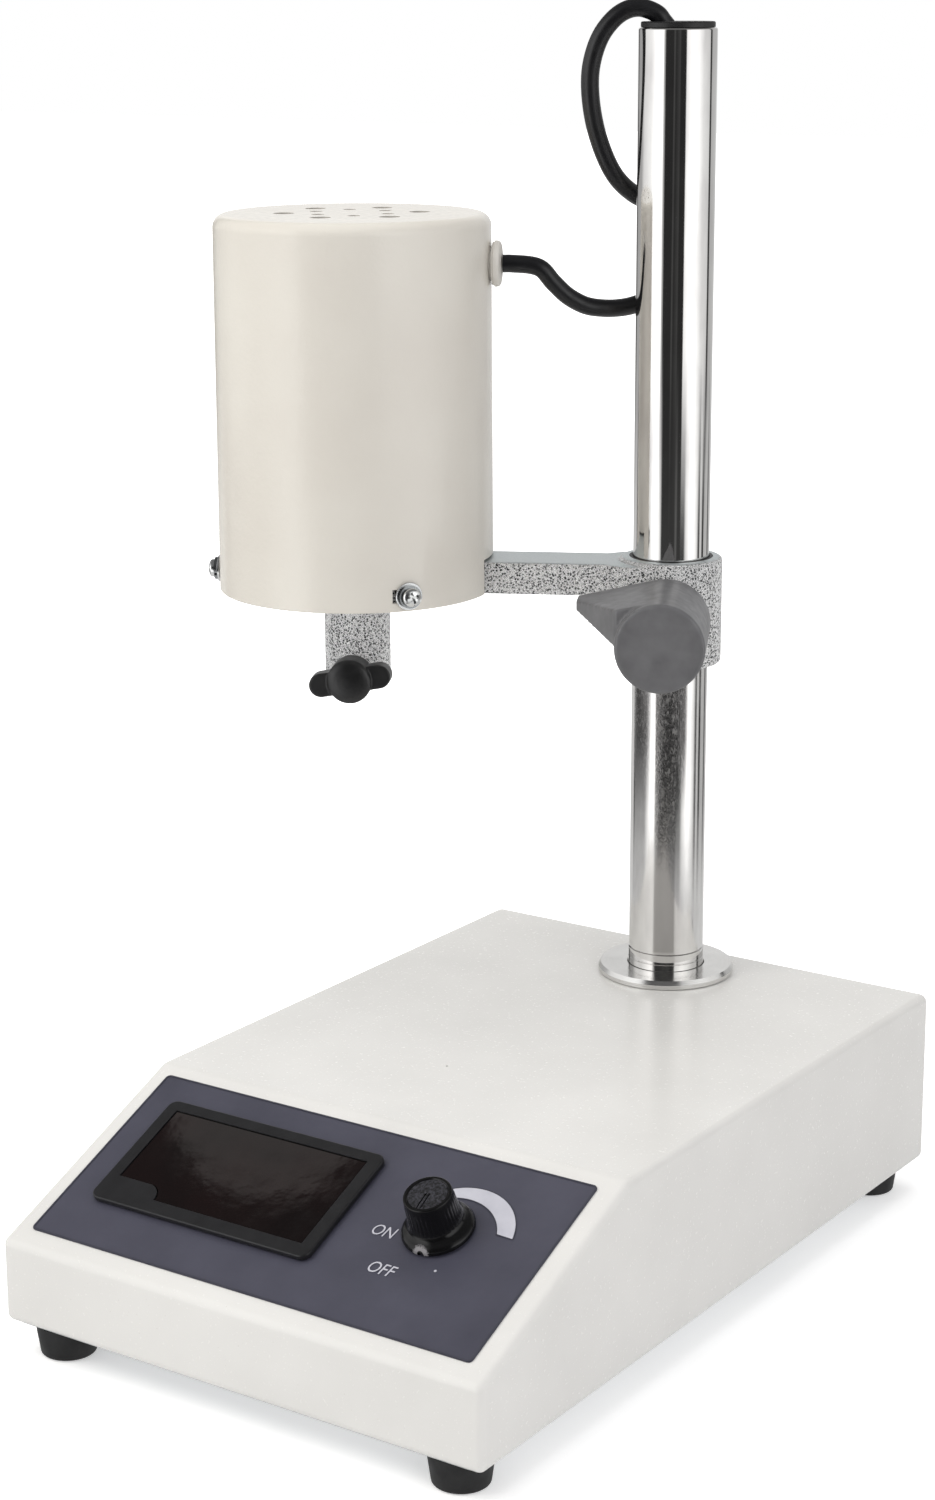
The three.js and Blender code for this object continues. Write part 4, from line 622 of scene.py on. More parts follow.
def turnedChrome():  # satin chrome with the rings of the lathe round the column's axis
    surface = Surface("turnedChrome", {"Metallic": 1.0, "Roughness": 0.2})
    add = surface.add
    centred = add("ShaderNodeVectorMath", [surface.place, columnXY], operation="SUBTRACT")
    flatways = add("ShaderNodeVectorMath", [centred, (1, 1, 0)], operation="MULTIPLY")
    radius = add("ShaderNodeVectorMath", [flatways], "Value", operation="LENGTH")
    inputs = {"W": radius, "Scale": grain(0.35), "Detail": 3}
    rings = add("ShaderNodeTexNoise", inputs, noise_dimensions="1D")
    roughness = add("ShaderNodeMapRange", [rings, 0.3, 0.7, 0.14, 0.24])
    relief = add("ShaderNodeBump", {"Height": rings, "Distance": 0.02 * mm, "Strength": 0.5})
    return surface.finish(surface.cloudy(16, 3, "#D6D5D3", "#E4E3E1"), roughness, relief)


def moulded(name, low, high, roughLow, roughHigh, size, depth, specular=0.5):  # plastic or rubber
    surface = Surface(name, {"Roughness": (roughLow + roughHigh) / 2, "Specular IOR Level": specular})
    tone = surface.cloudy(size * 14, 3, low, high)
    roughness = surface.uneven(size * 6, 3, roughLow, roughHigh)
    return surface.finish(tone, roughness, surface.peel(size, 2, depth, 0.6))


def sparkGrain():  # the knob's spark-eroded top: coarse grain that catches the light
    surface = Surface("grainedDisc", {"Roughness": 0.5})
    inputs = {"Vector": surface.place, "Scale": grain(0.75), "Detail": 3, "Roughness": 0.65}
    pits = surface.add("ShaderNodeTexNoise", inputs)
    tone = surface.add("ShaderNodeValToRGB", [pits], stops=tones("#0E0E10", "#3C3C43", (0.42, 0.6)))
    roughness = surface.add("ShaderNodeMapRange", [pits, 0.3, 0.7, 0.6, 0.4])
    relief = surface.add("ShaderNodeBump", {"Height": pits, "Distance": 0.25 * mm, "Strength": 0.8})
    return surface.finish(tone, roughness, relief)


def wornGloss(spot):  # glossy black knob plastic, scuffed pale round one spot of its skirt
    surface = Surface("wornGloss", {"Roughness": 0.2, "Specular IOR Level": 0.3})
    add, place = surface.add, surface.place
    away = add("ShaderNodeVectorMath", [place, spot], "Value", operation="DISTANCE")
    frayed = add("ShaderNodeTexNoise", {"Vector": place, "Scale": grain(0.6), "Detail": 3, "Roughness": 0.7})
    fringe = add("ShaderNodeMath", [frayed, 2.4 * mm], operation="MULTIPLY")
    ragged = add("ShaderNodeMath", [away, fringe], operation="ADD")
    outer = add("ShaderNodeMapRange", [ragged, 3.2 * mm, 3.9 * mm, 1, 0])
    inner = add("ShaderNodeMapRange", [away, 1.0 * mm, 1.2 * mm, 0, 1])
    scuff = add("ShaderNodeMath", [outer, inner], operation="MULTIPLY")
    black = surface.cloudy(12, 3, "#0B0B0C", "#111112")
    tone = add("ShaderNodeMix", {0: scuff, 6: black, 7: linear("#8F8D90")}, 2, data_type="RGBA")
    roughness = add("ShaderNodeMapRange", [scuff, 0, 1, 0.17, 0.6])
    return surface.finish(tone, roughness, surface.peel(0.9, 2, 0.012, 0.6))


def displayPane():  # smoked acrylic over dark digits: near black with a maroon cast
    surface = Surface("displayPane", {"Roughness": 0.06, "Specular IOR Level": 0.25})
    tone = surface.cloudy(30, 2, "#0C0606", "#140909", (0.35, 0.65))
    roughness = surface.uneven(6, 4, 0.04, 0.08, (0.35, 0.65))
    return surface.finish(tone, roughness, surface.peel(11, 3, 0.05, 0.8))


def panelFilm():  # slate printed polyester, lightly textured
    surface = Surface("panelFilm", {"Roughness": 0.5})
    tone = surface.cloudy(26, 3, "#434350", "#4C4C5A")
    return surface.finish(tone, surface.uneven(4, 3, 0.44, 0.56), surface.peel(0.35, 1, 0.006, 0.5))


def laminations():  # stacked electrical sheet: fine lines across the height
    surface = Surface("laminations", {"Metallic": 0.7, "Roughness": 0.45})
    height = surface.add("ShaderNodeSeparateXYZ", [surface.place], "Z")
    sheets = surface.add("ShaderNodeMath", [height, fullTurn * grain(0.5)], operation="MULTIPLY")
    wave = surface.add("ShaderNodeMath", [sheets], operation="SINE")
    relief = surface.add("ShaderNodeBump", {"Height": wave, "Distance": 0.03 * mm, "Strength": 0.6})
    return surface.finish(surface.cloudy(12, 3, "#5F6265", "#76797C"), None, relief)


def copperWire():  # enamelled copper wire in flat bundles
    surface = Surface("copperWire", {"Metallic": 0.75, "Roughness": 0.3})
    upright = surface.add("ShaderNodeMapping", {"Vector": surface.place, "Scale": (1, 1, 0.06)})
    wires = surface.add("ShaderNodeTexNoise", {"Vector": upright, "Scale": grain(0.5), "Detail": 2})
    tone = surface.add("ShaderNodeValToRGB", [wires], stops=tones("#7E3718", "#B9683A"))
    relief = surface.add("ShaderNodeBump", {"Height": wires, "Distance": 0.2 * mm, "Strength": 0.7})
    return surface.finish(tone, None, relief)


caseWhite = powderCoat()
ivory = coverEnamel()
hammered = hammertone()
chrome = columnChrome()
flangeChrome = turnedChrome()
slate = panelFilm()
pane = displayPane()
# bright zinc plate on turned and pressed steel: pale, with a soft grain
zinc = metalFinish("zincPlate", "#D4D6D7", "#E8E9E8", 0.14, 0.26, 0.6, 0.01)
# spring washers are painted darker than zinc, as painted shade for the dark ring round each screw head;
# zinc-plated sheet is duller, with broad clouds
shadedSpringSteel = metalFinish("shadedSpringSteel", "#85888A", "#A4A7A8", 0.2, 0.34, 0.5, 0.01)
zincSheet = metalFinish("zincSheet", "#A9AEB1", "#C0C3C4", 0.3, 0.5, 5, 0.02)
# ground steel has fine lines along its axis; bare aluminium is duller, with a coarser grain
groundSteel = metalFinish("groundSteel", "#B4B6B8", "#C6C8C9", 0.16, 0.3, 0.4, 0.01, (1, 1, 0.05))
bareAluminium = metalFinish("bareAluminium", "#B3B6BA", "#C5C8CB", 0.32, 0.5, 1.2, 0.03)
# plastic mouldings, from near black to mid grey: a fine grain breaks up the light on them
darkPlastic = moulded("darkPlastic", "#161617", "#1E1E1F", 0.42, 0.55, 0.5, 0.02)
bezelPlastic = moulded("bezelPlastic", "#19191B", "#202022", 0.34, 0.46, 0.45, 0.015)
capPlastic = moulded("capPlastic", "#131314", "#1A1A1B", 0.45, 0.6, 0.5, 0.02)
gripPlastic = moulded("gripPlastic", "#5E5E60", "#6A6A6C", 0.36, 0.46, 0.5, 0.02)
wingPlastic = moulded("wingPlastic", "#151516", "#1E1E1F", 0.3, 0.42, 0.7, 0.02)
# polished black phenolic: smooth, with sharp lights
glossPlastic = moulded("glossPlastic", "#0B0B0C", "#111112", 0.14, 0.24, 0.9, 0.012, 0.3)
grainedDisc = sparkGrain()
# moulded rubber: matt, with a fine grain
footRubber = moulded("footRubber", "#121213", "#1A1A1B", 0.6, 0.75, 0.8, 0.03)
# soft moulded vinyl: pale and satin
softVinyl = moulded("softVinyl", "#CFCBC3", "#DAD7D0", 0.42, 0.55, 0.8, 0.02)
# extruded rubber jacket: black and smooth
cordJacket = moulded("cordJacket", "#101012", "#17171A", 0.3, 0.42, 0.6, 0.012)
# machined nylon: dark and even; where it shows in the bracket's bore its dark is also painted shade for the
# gap there
darkBushAndGapShade = moulded("darkBushAndGapShade", "#141415", "#1C1C1D", 0.4, 0.5, 0.7, 0.01)
# screen-printed ink: flat, about as satin as the film under it
printInk = moulded("printInk", "#BCBCC6", "#C8C8D1", 0.45, 0.55, 0.4, 0.004)
outlineInk = moulded("outlineInk", "#3B3B47", "#444450", 0.48, 0.56, 0.4, 0.004)
# glass-filled board under green solder resist: satin and slightly wavy
circuitBoard = moulded("circuitBoard", "#2B5238", "#336044", 0.4, 0.55, 0.9, 0.02)
iron = laminations()
copper = copperWire()
finishes = {
    "case_paint": caseWhite,
    "cover_enamel": ivory,
    "zinc_sheet": zincSheet,
    "zinc_steel": zinc,
    "ground_steel": groundSteel,
    "column_chrome": chrome,
    "flange_chrome": flangeChrome,
    "hammertone": hammered,
    "aluminium_bare": bareAluminium,
    "foot_rubber": footRubber,
    "lead_jacket": cordJacket,
    "label_film": slate,
    "bezel_plastic": bezelPlastic,
    "window_smoke": pane,
    "module_plastic": darkPlastic,
    "knob_gloss": glossPlastic,
    "wing_plastic": wingPlastic,
    "grip_plastic": gripPlastic,
    "cap_plastic": capPlastic,
    "bush_nylon": darkBushAndGapShade,
    "grommet_plastic": softVinyl,
    "socket_plastic": darkPlastic,
    "fan_plastic": darkPlastic,
    "circuit_board": circuitBoard,
    "lamination": iron,
    "copper_winding": copper,
}
for nodeName, cadNode in frame["nodes"].items():
    cadNode.data.materials.clear()
    cadNode.data.materials.append(finishes[slotOf[nodeName]])
print("materials made:", len(bpy.data.materials))


# motor lead, from the grommet behind the column and over into the cap
leadSizes = {
    "diameter": 5.8,
    "sides": 20,
    "stepsPerPoint": 7,
    "grommetHeight": 296,
    "startReach": 49.1,  # from the motor's axis to the grommet's face
    "holeOffset": (-3.9, -2.65),
    "holeLean": 50,
    "holeDepth": 4.3,
    "split": 10,  # the route point behind the column where the two stretches meet
    "follow": ((-6.1, -3.2, 372.1), (-33.5, 6.2, 325.7)),  # two points given for the upper stretch; the lead is made as a fixed tube and nothing bends it
}
leadRoute = [  # from the column's axis
    (-38.5, -20.4, 294.8),
    (-35.4, -17.0, 290.0),
    (-32.2, -13.1, 285.4),
    (-28.4, -8.4, 282.2),
    (-24.9, -3.6, 281.1),
    (-21.9, 1.4, 280.9),
    (-19.0, 6.5, 281.6),
    (-13.6, 12.4, 284.6),
    (-7.4, 15.8, 290.4),
    (-4.6, 17.0, 298.6),
    (-7.4, 15.9, 307.2),
    (-13.4, 10.9, 313.4),
    (-18.4, 4.1, 317.6),
    (-21.8, -1.9, 323.7),
    (-24.8, -7.3, 335.8),
    (-25.4, -11.1, 349.0),
    (-24.1, -12.5, 359.0),
    (-20.5, -11.9, 368.3),
    (-15.2, -9.5, 374.4),
    (-10.4, -6.7, 376.0),
]


def throughPoints(points, steps):  # a centripetal Catmull-Rom line
    ends = [points[0] * 2 - points[1], *points, points[-1] * 2 - points[-2]]
    line = []
    for before, here, after, beyond in zip(ends, ends[1:], ends[2:], ends[3:]):
        knots = [0.0]
        for first, last in ((before, here), (here, after), (after, beyond)):
            knots.append(knots[-1] + math.sqrt((last - first).length))
        for step in range(steps):
            t = knots[1] + (knots[2] - knots[1]) * step / steps

            def between(i, j, first, last):
                return first.lerp(last, (t - knots[i]) / (knots[j] - knots[i]))

            lower = between(0, 1, before, here)
            middle = between(1, 2, here, after)
            upper = between(2, 3, after, beyond)
            line.append(between(1, 2, between(0, 2, lower, middle), between(1, 3, middle, upper)))
    return [*line, points[-1].copy()]


def tube(line, radius, sides):
    shape = bmesh.new()
    along = (line[1] - line[0]).normalized()
    across = along.orthogonal().normalized()
    rings = []
    for i, point in enumerate(line):
        ahead = (line[min(i + 1, len(line) - 1)] - line[max(i - 1, 0)]).normalized()
        across.rotate(along.rotation_difference(ahead))
        along = ahead
        side = along.cross(across)
        angles = [fullTurn * k / sides for k in range(sides)]
        ring = [point + (across * math.cos(a) + side * math.sin(a)) * radius for a in angles]
        rings.append([shape.verts.new(corner) for corner in ring])
    for low, high in zip(rings, rings[1:]):
        for k in range(sides):
            shape.faces.new((low[k], low[(k + 1) % sides], high[(k + 1) % sides], high[k]))
    shape.faces.new(rings[0][::-1])
    shape.faces.new(rings[-1])
    bmesh.ops.recalc_face_normals(shape, faces=shape.faces)
    return shape


def lineLength(line):
    return sum((last - first).length for first, last in zip(line, line[1:]))


def makeLead():
    size = leadSizes
    radius = size["diameter"] / 2
    back = -armDirection
    start = motorAt(0, 0, size["grommetHeight"]) + back * size["startReach"] * mm
    x, y = size["holeOffset"]
    hole = columnAt(x, y, columnSizes["capTop"])
    lean = Vector((x, y, 0)).normalized() * math.cos(math.radians(size["holeLean"]))
    lean.z = math.sin(math.radians(size["holeLean"]))
    route = [columnAt(*point) for point in leadRoute]
    points = [
        start,
        start + back * radius * mm,
        *route,
        hole + lean * radius * mm,
        hole,
        hole - lean * size["holeDepth"] * mm,
    ]
    line = throughPoints(points, size["stepsPerPoint"])
    cut = (size["split"] + 1) * size["stepsPerPoint"]
    follow = [columnAt(*point) for point in size["follow"]]
    stretches = {
        "leadLower": (line[: cut + 1], "clamp_bush", "head", line[cut], start),
        "leadUpper": (line[cut:][::-1], "base", "clamp_bush", *follow),
    }
    for name, (path, first, second, bendStart, bendEnd) in stretches.items():
        piece = objectFrom(name, tube(path, radius * mm, size["sides"]), Matrix.Identity(4))
        shaded(piece, 50)
        piece.data.materials.append(cordJacket)
        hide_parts("motor_lead")
        tuple(bendStart)
        tuple(bendEnd)
        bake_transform(piece)
        tuple(path[0])
        lineLength(path)
        [tuple(point) for point in path]
    print("lead length, mm:", round(lineLength(line) / mm, 1))


makeLead()


# geometry node rules
class Rule:  # a node tree with named inputs; its modifier runs once on an object and is then removed
    def __init__(self, name, **inputs):
        self.tree = bpy.data.node_groups.new(name, "GeometryNodeTree")
        self.ids = {}
        self.values = inputs
        interface = self.tree.interface
        interface.new_socket("Geometry", in_out="INPUT", socket_type="NodeSocketGeometry")
        for label, value in inputs.items():
            kind = "NodeSocketInt" if isinstance(value, int) else "NodeSocketFloat"
            self.ids[label] = interface.new_socket(label, in_out="INPUT", socket_type=kind).identifier
        interface.new_socket("Geometry", in_out="OUTPUT", socket_type="NodeSocketGeometry")
        self.given = self.add("NodeGroupInput").node.outputs

    def add(self, kind, inputs=(), output=0, **settings):
        return addNode(self.tree, kind, inputs, output, **settings)

    def onCircle(self, count, radius, start, height):  # points on a circle, each with its angle
        index = self.add("GeometryNodeInputIndex")
        step = self.add("ShaderNodeMath", [fullTurn, count], operation="DIVIDE")
        first = self.add("ShaderNodeMath", [start], operation="RADIANS")
        angle = self.add("ShaderNodeMath", [index, step, first], operation="MULTIPLY_ADD")
        spot = {"Z": height}
        for axis, operation in (("X", "COSINE"), ("Y", "SINE")):
            share = self.add("ShaderNodeMath", [angle], operation=operation)
            spot[axis] = self.add("ShaderNodeMath", [radius, share], operation="MULTIPLY")
        place = self.add("ShaderNodeCombineXYZ", spot)
        return self.add("GeometryNodePoints", {"Count": count, "Position": place}), angle

    def end(self, geometry, material):
        real = self.add("GeometryNodeRealizeInstances", {"Geometry": geometry})
        painted = self.add("GeometryNodeSetMaterial", {"Geometry": real, "Material": material})
        self.add("NodeGroupOutput", {"Geometry": painted})

    def runOn(self, obj):
        modifier = obj.modifiers.new(self.tree.name, "NODES")
        modifier.node_group = self.tree
        for label, value in self.values.items():
            modifier[self.ids[label]] = value
        return settled(obj)


# base case
panelCuts = {
    "module": (76, 39.4, -28, 44.2),
    "bushing": (4.9, 42.4, 46.5),
    "columnRadius": 12.8,
    "inlet": (28.2, 20.4, 40, 26),
    "fuse": (5.9, 75.3, 48.4),
    "pit": (0.45, -9.0, -12.1),  # a small pit in the paint of the top
}


def sheetOutline(inset=0.0):  # side outline in Y and Z, from the middle of the base
    size = caseSizes
    front, rear = -size["depth"] / 2 + inset, size["depth"] / 2 - inset
    top = size["height"] - inset
    drop = inset / math.cos(slopeAngle)
    rise = math.tan(slopeAngle)
    frontTop = size["frontHeight"] + inset * rise - drop
    slopeEnd = -size["depth"] / 2 + (top - size["frontHeight"] + drop) / rise
    floor = -overrun if inset else 0
    radii = [max(size[key] - inset, 0) for key in ("bendRear", "bendSlopeTop", "bendFront")]
    bottom = 0 if inset else size["bendBottom"]
    corners = [
        (front, floor, bottom),
        (rear, floor, bottom),
        (rear, top, radii[0]),
        (slopeEnd, top, radii[1]),
        (front, frontTop, radii[2]),
    ]
    return softCorners(corners, 0, 10)


def acrossX(shape):  # lays a side outline, extruded along Z, along X
    return moved(shape, Matrix(((0, 0, 1, 0), (1, 0, 0, 0), (0, 1, 0, 0), (0, 0, 0, 1))))


def makeBase():
    size = caseSizes
    half = size["width"] / 2
    rear = size["depth"] / 2
    inner = half - size["wall"]
    shell = objectFrom("baseShell", acrossX(prism(sheetOutline(), -half, half)))
    softened(shell, size["sideEdge"], 5, 40)
    cutAway(shell, [acrossX(prism(sheetOutline(size["wall"]), -inner, inner))])
    width, height, x, s = panelCuts["module"]
    moduleHole = prism(rectangle(width, height, 0, x, s), -5, overrun)
    radius, x, s = panelCuts["bushing"]
    cutAway(shell, [moduleHole, shifted(rod(radius, -5, overrun), x, s)], slopePlace)
    width, height, x, z = panelCuts["inlet"]
    inletHole = block(x - width / 2, x + width / 2, rear - 5, rear + overrun, z - height / 2, z + height / 2)
    radius, x, z = panelCuts["fuse"]
    fuseHole = shifted(turned(rod(radius, -5, overrun), -90, "X"), x, rear, z)
    radius, x, y = panelCuts["pit"]
    pit = shifted(rod(radius, size["height"] - 1.2, size["height"] + overrun, 16), x, y)
    cutAway(shell, [inletHole, fuseHole, pit])
    columnHole = rod(panelCuts["columnRadius"], size["height"] - 5, size["height"] + overrun, 96)
    cutAway(shell, [columnHole], columnPlace)
    return dressed(shell, caseWhite, "base", ["base_shell"])


# control panel
panelSizes = {
    "label": (157, 69.8, -0.5, 41.6),
    "labelTop": 0.5,
    "borderWidth": 0.55,
    "film": 0.03,
    "bezel": (80.6, 43.4, -28, 44.2),
    "bezelCorner": 3,
    "bezelLow": 0.6,
    "bezelTop": 2.6,
    "bezelEdge": 0.55,
    "pane": (71.4, 34.3, -28.1, 44.6),
    "notch": (12, 5, 5.3),
    "paneLow": 0.9,
    "paneTop": 2.3,
    "paneEdge": 0.22,
    "paneGap": 0.2,
}


def paneOutline(grow=0.0):
    width, height, x, s = panelSizes["pane"]
    notchWidth, curve, notchHeight = panelSizes["notch"]
    left, right = x - width / 2 - grow, x + width / 2 + grow
    low, high = s - height / 2 - grow, s + height / 2 + grow
    stepX, stepY = left + notchWidth, low + notchHeight
    turnPoints = [
        (stepX + curve * math.sin(math.pi / 20 * k), stepY - notchHeight * (1 - math.cos(math.pi / 20 * k)))
        for k in range(11)
    ]
    return [(left, stepY), *turnPoints, (right, low), (right, high), (left, high)]


def makePanel():
    size = panelSizes
    width, height, x, s = size["label"]
    low, high = size["labelTop"], size["labelTop"] + size["film"]
    border = objectFrom("labelBorder", prism(rectangle(width, height, 1.5, x, s), low, high), slopePlace)
    inset = 2 * size["borderWidth"]
    middle = prism(rectangle(width - inset, height - inset, 1, x, s), low - overrun, high + overrun)
    cutAway(border, [middle], slopePlace)
    dressed(border, outlineInk, "base", (), "label_film")
    width, height, x, s = size["bezel"]
    outline = rectangle(width, height, size["bezelCorner"], x, s, 12)
    bezel = objectFrom("displayBezel", prism(outline, size["bezelLow"], size["bezelTop"]), slopePlace)
    softened(bezel, size["bezelEdge"], 4, 40)
    cutAway(bezel, [prism(paneOutline(size["paneGap"]), -overrun, size["bezelTop"] + overrun)], slopePlace)
    softened(bezel, 0.12, 2, 50)
    dressed(bezel, bezelPlastic, "base", ["display_bezel"])
    window = objectFrom("displayWindow", prism(paneOutline(), size["paneLow"], size["paneTop"]), slopePlace)
    softened(window, size["paneEdge"], 2, 40)
    dressed(window, pane, "base", ["display_window"])


# printed marks on the panel
printSizes = {
    "film": 0.035,
    "inner": (44.7, 43.5, 16.4, 122, 25.4),  # centre, radius and angles of the crescent's edges
    "outer": (46.9, 46.3, 18.3, 131, 12.6),
    "letterScale": 1.37,  # the font's size over the height of its capitals
    "letterSlant": 0.16,
    "outline": 0.35,
    "dot": (50.1, 32.4, 0.42),
    "tick": ((42.5, 57.3), (44.8, 56.7), 0.42),
    "words": {  # left end, foot, height and squeeze
        "ON": (22.9, 38.9, 4.2, 0.86),
        "OFF": (30.0, 26.0, 4.3, 0.86),
    },
}


def crescent(grow, low, high):
    edges = []
    for key, side in (("inner", -grow), ("outer", grow)):
        x, s, radius, start, end = printSizes[key]
        spread = math.degrees(grow / radius)
        edges.append(arcPoints(x, s, radius + side, start + spread, end - spread, 48))
    return prism(edges[0] + edges[1][::-1], low, high)


def makeWord(word, x, s, height, squeeze):
    curve = bpy.data.curves.new(word, "FONT")
    curve.body = word
    curve.size = height * printSizes["letterScale"] * mm
    curve.shear = printSizes["letterSlant"]
    curve.extrude = printSizes["film"] / 2 * mm
    curve.resolution_u = 4
    letters = bpy.data.objects.new("letters", curve)
    bpy.context.scene.collection.objects.link(letters)
    bpy.context.view_layer.update()
    depsgraph = bpy.context.evaluated_depsgraph_get()
    mesh = bpy.data.meshes.new_from_object(letters.evaluated_get(depsgraph))
    bpy.data.objects.remove(letters)
    squeezed = Matrix.Diagonal((squeeze / mm, 1 / mm, 1 / mm, 1))
    middle = panelSizes["labelTop"] + printSizes["film"] / 2
    mesh.transform(slopePlace @ Matrix.Translation((x, s, middle)) @ squeezed)
    piece = bpy.data.objects.new(f"word{word.title()}", mesh)
    bpy.context.scene.collection.objects.link(piece)
    return dressed(piece, printInk, "base", (), "label_film", 40)


def makePrint():
    size = printSizes
    low = panelSizes["labelTop"]
    high = low + size["film"]
    x, s, radius = size["dot"]
    start, end, half = size["tick"]
    start, end = Vector(start), Vector(end)
    along = (end - start).normalized() * half
    across = Vector((-along.y, along.x))
    tickOutline = [start - across, end - across, end + along, end + across, start + across]
    marks = {
        "crescentRim": (crescent(size["outline"], low, low + size["film"] / 2), outlineInk),
        "speedCrescent": (crescent(0, low, high), printInk),
        "zeroDot": (shifted(rod(radius, low, high, 24), x, s), printInk),
        "speedTick": (prism(tickOutline, low, high), printInk),
    }
    for name, (shape, ink) in marks.items():
        dressed(objectFrom(name, shape, slopePlace), ink, "base", (), "label_film")
    for word, place in size["words"].items():
        makeWord(word, *place)


# speed knob: a fluted bell with a flared skirt; the flutes are a rule
knobSizes = {
    "centre": (42.4, 46.5),
    "low": 0.8,
    "skirtRadius": 10.8,
    "skirtEdge": 1.0,
    "skirtBevel": 0.3,
    "bell": [
        (10.5, 1.6), (9.9, 2.25), (9.1, 2.8), (8.4, 3.4), (7.95, 4.2), (7.75, 5.3), (7.6, 7.8), (7.35, 11.6),
    ],
    "topRadius": 7.1,
    "height": 13.9,
    "rim": 0.5,
    "discDrop": 0.35,
    "lip": (0.5, 0.05, 0.8),  # inside the rim: run and fall of its top, and the start of the seat
    "disc": (0.85, 0.02, 0.05),  # inside the rim: its edge, and how far it lies under and over its seat
    "flutes": 36,
    "fluteDepth": 0.16,
    "fluteLow": 5.0,
    "fluteHigh": 12.8,
    "pointerAngle": 274,
    "pointer": (1.5, 0.7, 6.1, 0.45),  # outer and inner width of the slot, its reach and depth
    "pointerPast": 0.4,  # what the slot gains in length, and what its middle is moved back
    "pointerSunk": 0.05,  # how far its bar goes under the slot
    "notch": (0.85, 0.6),
    "boreRadius": 3.2,
    "boreDepth": 12.8,
}


def finer(points, parts):  # the same line, each stretch cut in parts
    fine = []
    for (x, y), (nextX, nextY) in zip(points, points[1:]):
        fine += [(x + (nextX - x) * k / parts, y + (nextY - y) * k / parts) for k in range(parts)]
    return [*fine, points[-1]]


def slopeAt(size, height):  # a point over the skirt's rim, on the pointer's side
    angle = math.radians(size["pointerAngle"])
    x, s = size["centre"]
    reach = size["skirtRadius"] - 0.2
    return slopePlace @ Vector((x + reach * math.cos(angle), s + reach * math.sin(angle), height))


def flute(knob):  # presses the flutes into the bell, and fades them out at both ends
    size = knobSizes
    rule = Rule(
        "flutes",
        Count=float(size["flutes"]),
        Depth=size["fluteDepth"],
        Low=size["fluteLow"],
        High=size["fluteHigh"],
    )
    given, add = rule.given, rule.add
    parts = add("ShaderNodeSeparateXYZ", [add("GeometryNodeInputPosition")]).node.outputs
    angle = add("ShaderNodeMath", [parts["Y"], parts["X"]], operation="ARCTAN2")
    half = add("ShaderNodeMath", [angle, 0.5], operation="MULTIPLY")
    turns = add("ShaderNodeMath", [half, given["Count"]], operation="MULTIPLY")
    wave = add("ShaderNodeMath", [turns], operation="SINE")
    ridge = add("ShaderNodeMath", [wave], operation="ABSOLUTE")
    under = add("ShaderNodeMath", [ridge, 1.0], operation="SUBTRACT")
    groove = add("ShaderNodeMath", [under, given["Depth"]], operation="MULTIPLY")
    rising = add("ShaderNodeMath", [parts["Z"], given["Low"]], operation="SUBTRACT")
    falling = add("ShaderNodeMath", [given["High"], parts["Z"]], operation="SUBTRACT")
    nearer = add("ShaderNodeMath", [rising, falling], operation="MINIMUM")
    within = add("ShaderNodeMath", [nearer, 1.0], operation="MULTIPLY", use_clamp=True)
    flatways = add("ShaderNodeCombineXYZ", {"X": parts["X"], "Y": parts["Y"]})
    outward = add("ShaderNodeVectorMath", [flatways], operation="NORMALIZE")
    amount = add("ShaderNodeMath", [groove, within], operation="MULTIPLY")
    offset = add("ShaderNodeVectorMath", {0: outward, "Scale": amount}, operation="SCALE")
    rule.end(add("GeometryNodeSetPosition", {"Geometry": given["Geometry"], "Offset": offset}), glossPlastic)
    rule.runOn(knob)


def makeSpeedKnob():
    size = knobSizes
    low, top, bore, turn = size["low"], size["topRadius"], size["boreRadius"], size["pointerAngle"]
    high = low + size["height"]
    skirt = size["skirtRadius"]
    bell = finer([(radius, low + height) for radius, height in size["bell"]], 3)
    rounding = arcPoints(top - size["rim"], high - size["rim"], size["rim"], 0, 90, 5)
    discLow = high - size["discDrop"]
    lipStart, lipFall, lipEnd = size["lip"]
    boreTop = low + size["boreDepth"]
    profile = [
        (bore, low),
        (skirt - size["skirtBevel"], low),
        (skirt, low + size["skirtBevel"]),
        (skirt, low + size["skirtEdge"]),
        *bell,
        *rounding,
        (top - size["rim"] - lipStart, high - lipFall),
        (top - size["rim"] - lipEnd, discLow),
        (0, discLow),
        (0, boreTop),
        (bore, boreTop),
        (bore, low),
    ]
    knob = objectFrom("speedKnob", lathe(profile, size["flutes"] * 8), Matrix.Identity(4))
    flute(knob)
    knobPlace = slopePlace @ Matrix.Translation((*size["centre"], 0))
    knob.data.transform(knobPlace)
    width, inner, length, depth = size["pointer"]
    reach, middle = length + size["pointerPast"], length / 2 - size["pointerPast"]
    slot = rectangle(reach, width, width / 2 - 0.01, middle)
    pointer = turned(prism(slot, discLow - depth, high + overrun), turn)
    notchRadius, notchHeight = size["notch"]
    notch = shifted(turned(rod(notchRadius, 0, 4, 24), 90, "Y"), skirt - 2.0, 0, low + notchHeight)
    cutAway(knob, [pointer, turned(notch, turn)], knobPlace)
    dressed(knob, wornGloss(slopeAt(size, low + 0.6)), "speed_knob", ["speed_knob"], None, 38)
    inset, under, over = size["disc"]
    discRadius, discTop = top - size["rim"] - inset, discLow + over
    disc = objectFrom("knobDisc", rod(discRadius, discLow - under, discTop, 96), knobPlace)
    cutAway(disc, [turned(prism(slot, low, high), turn)], knobPlace)
    bar = rectangle(reach, inner, inner / 2 - 0.01, middle, 0, 6)
    barLow = discLow - depth - size["pointerSunk"]
    joinTo(disc, [turned(prism(bar, barLow, discTop), turn)], knobPlace)
    dressed(disc, grainedDisc, "speed_knob", (), "knob_gloss")


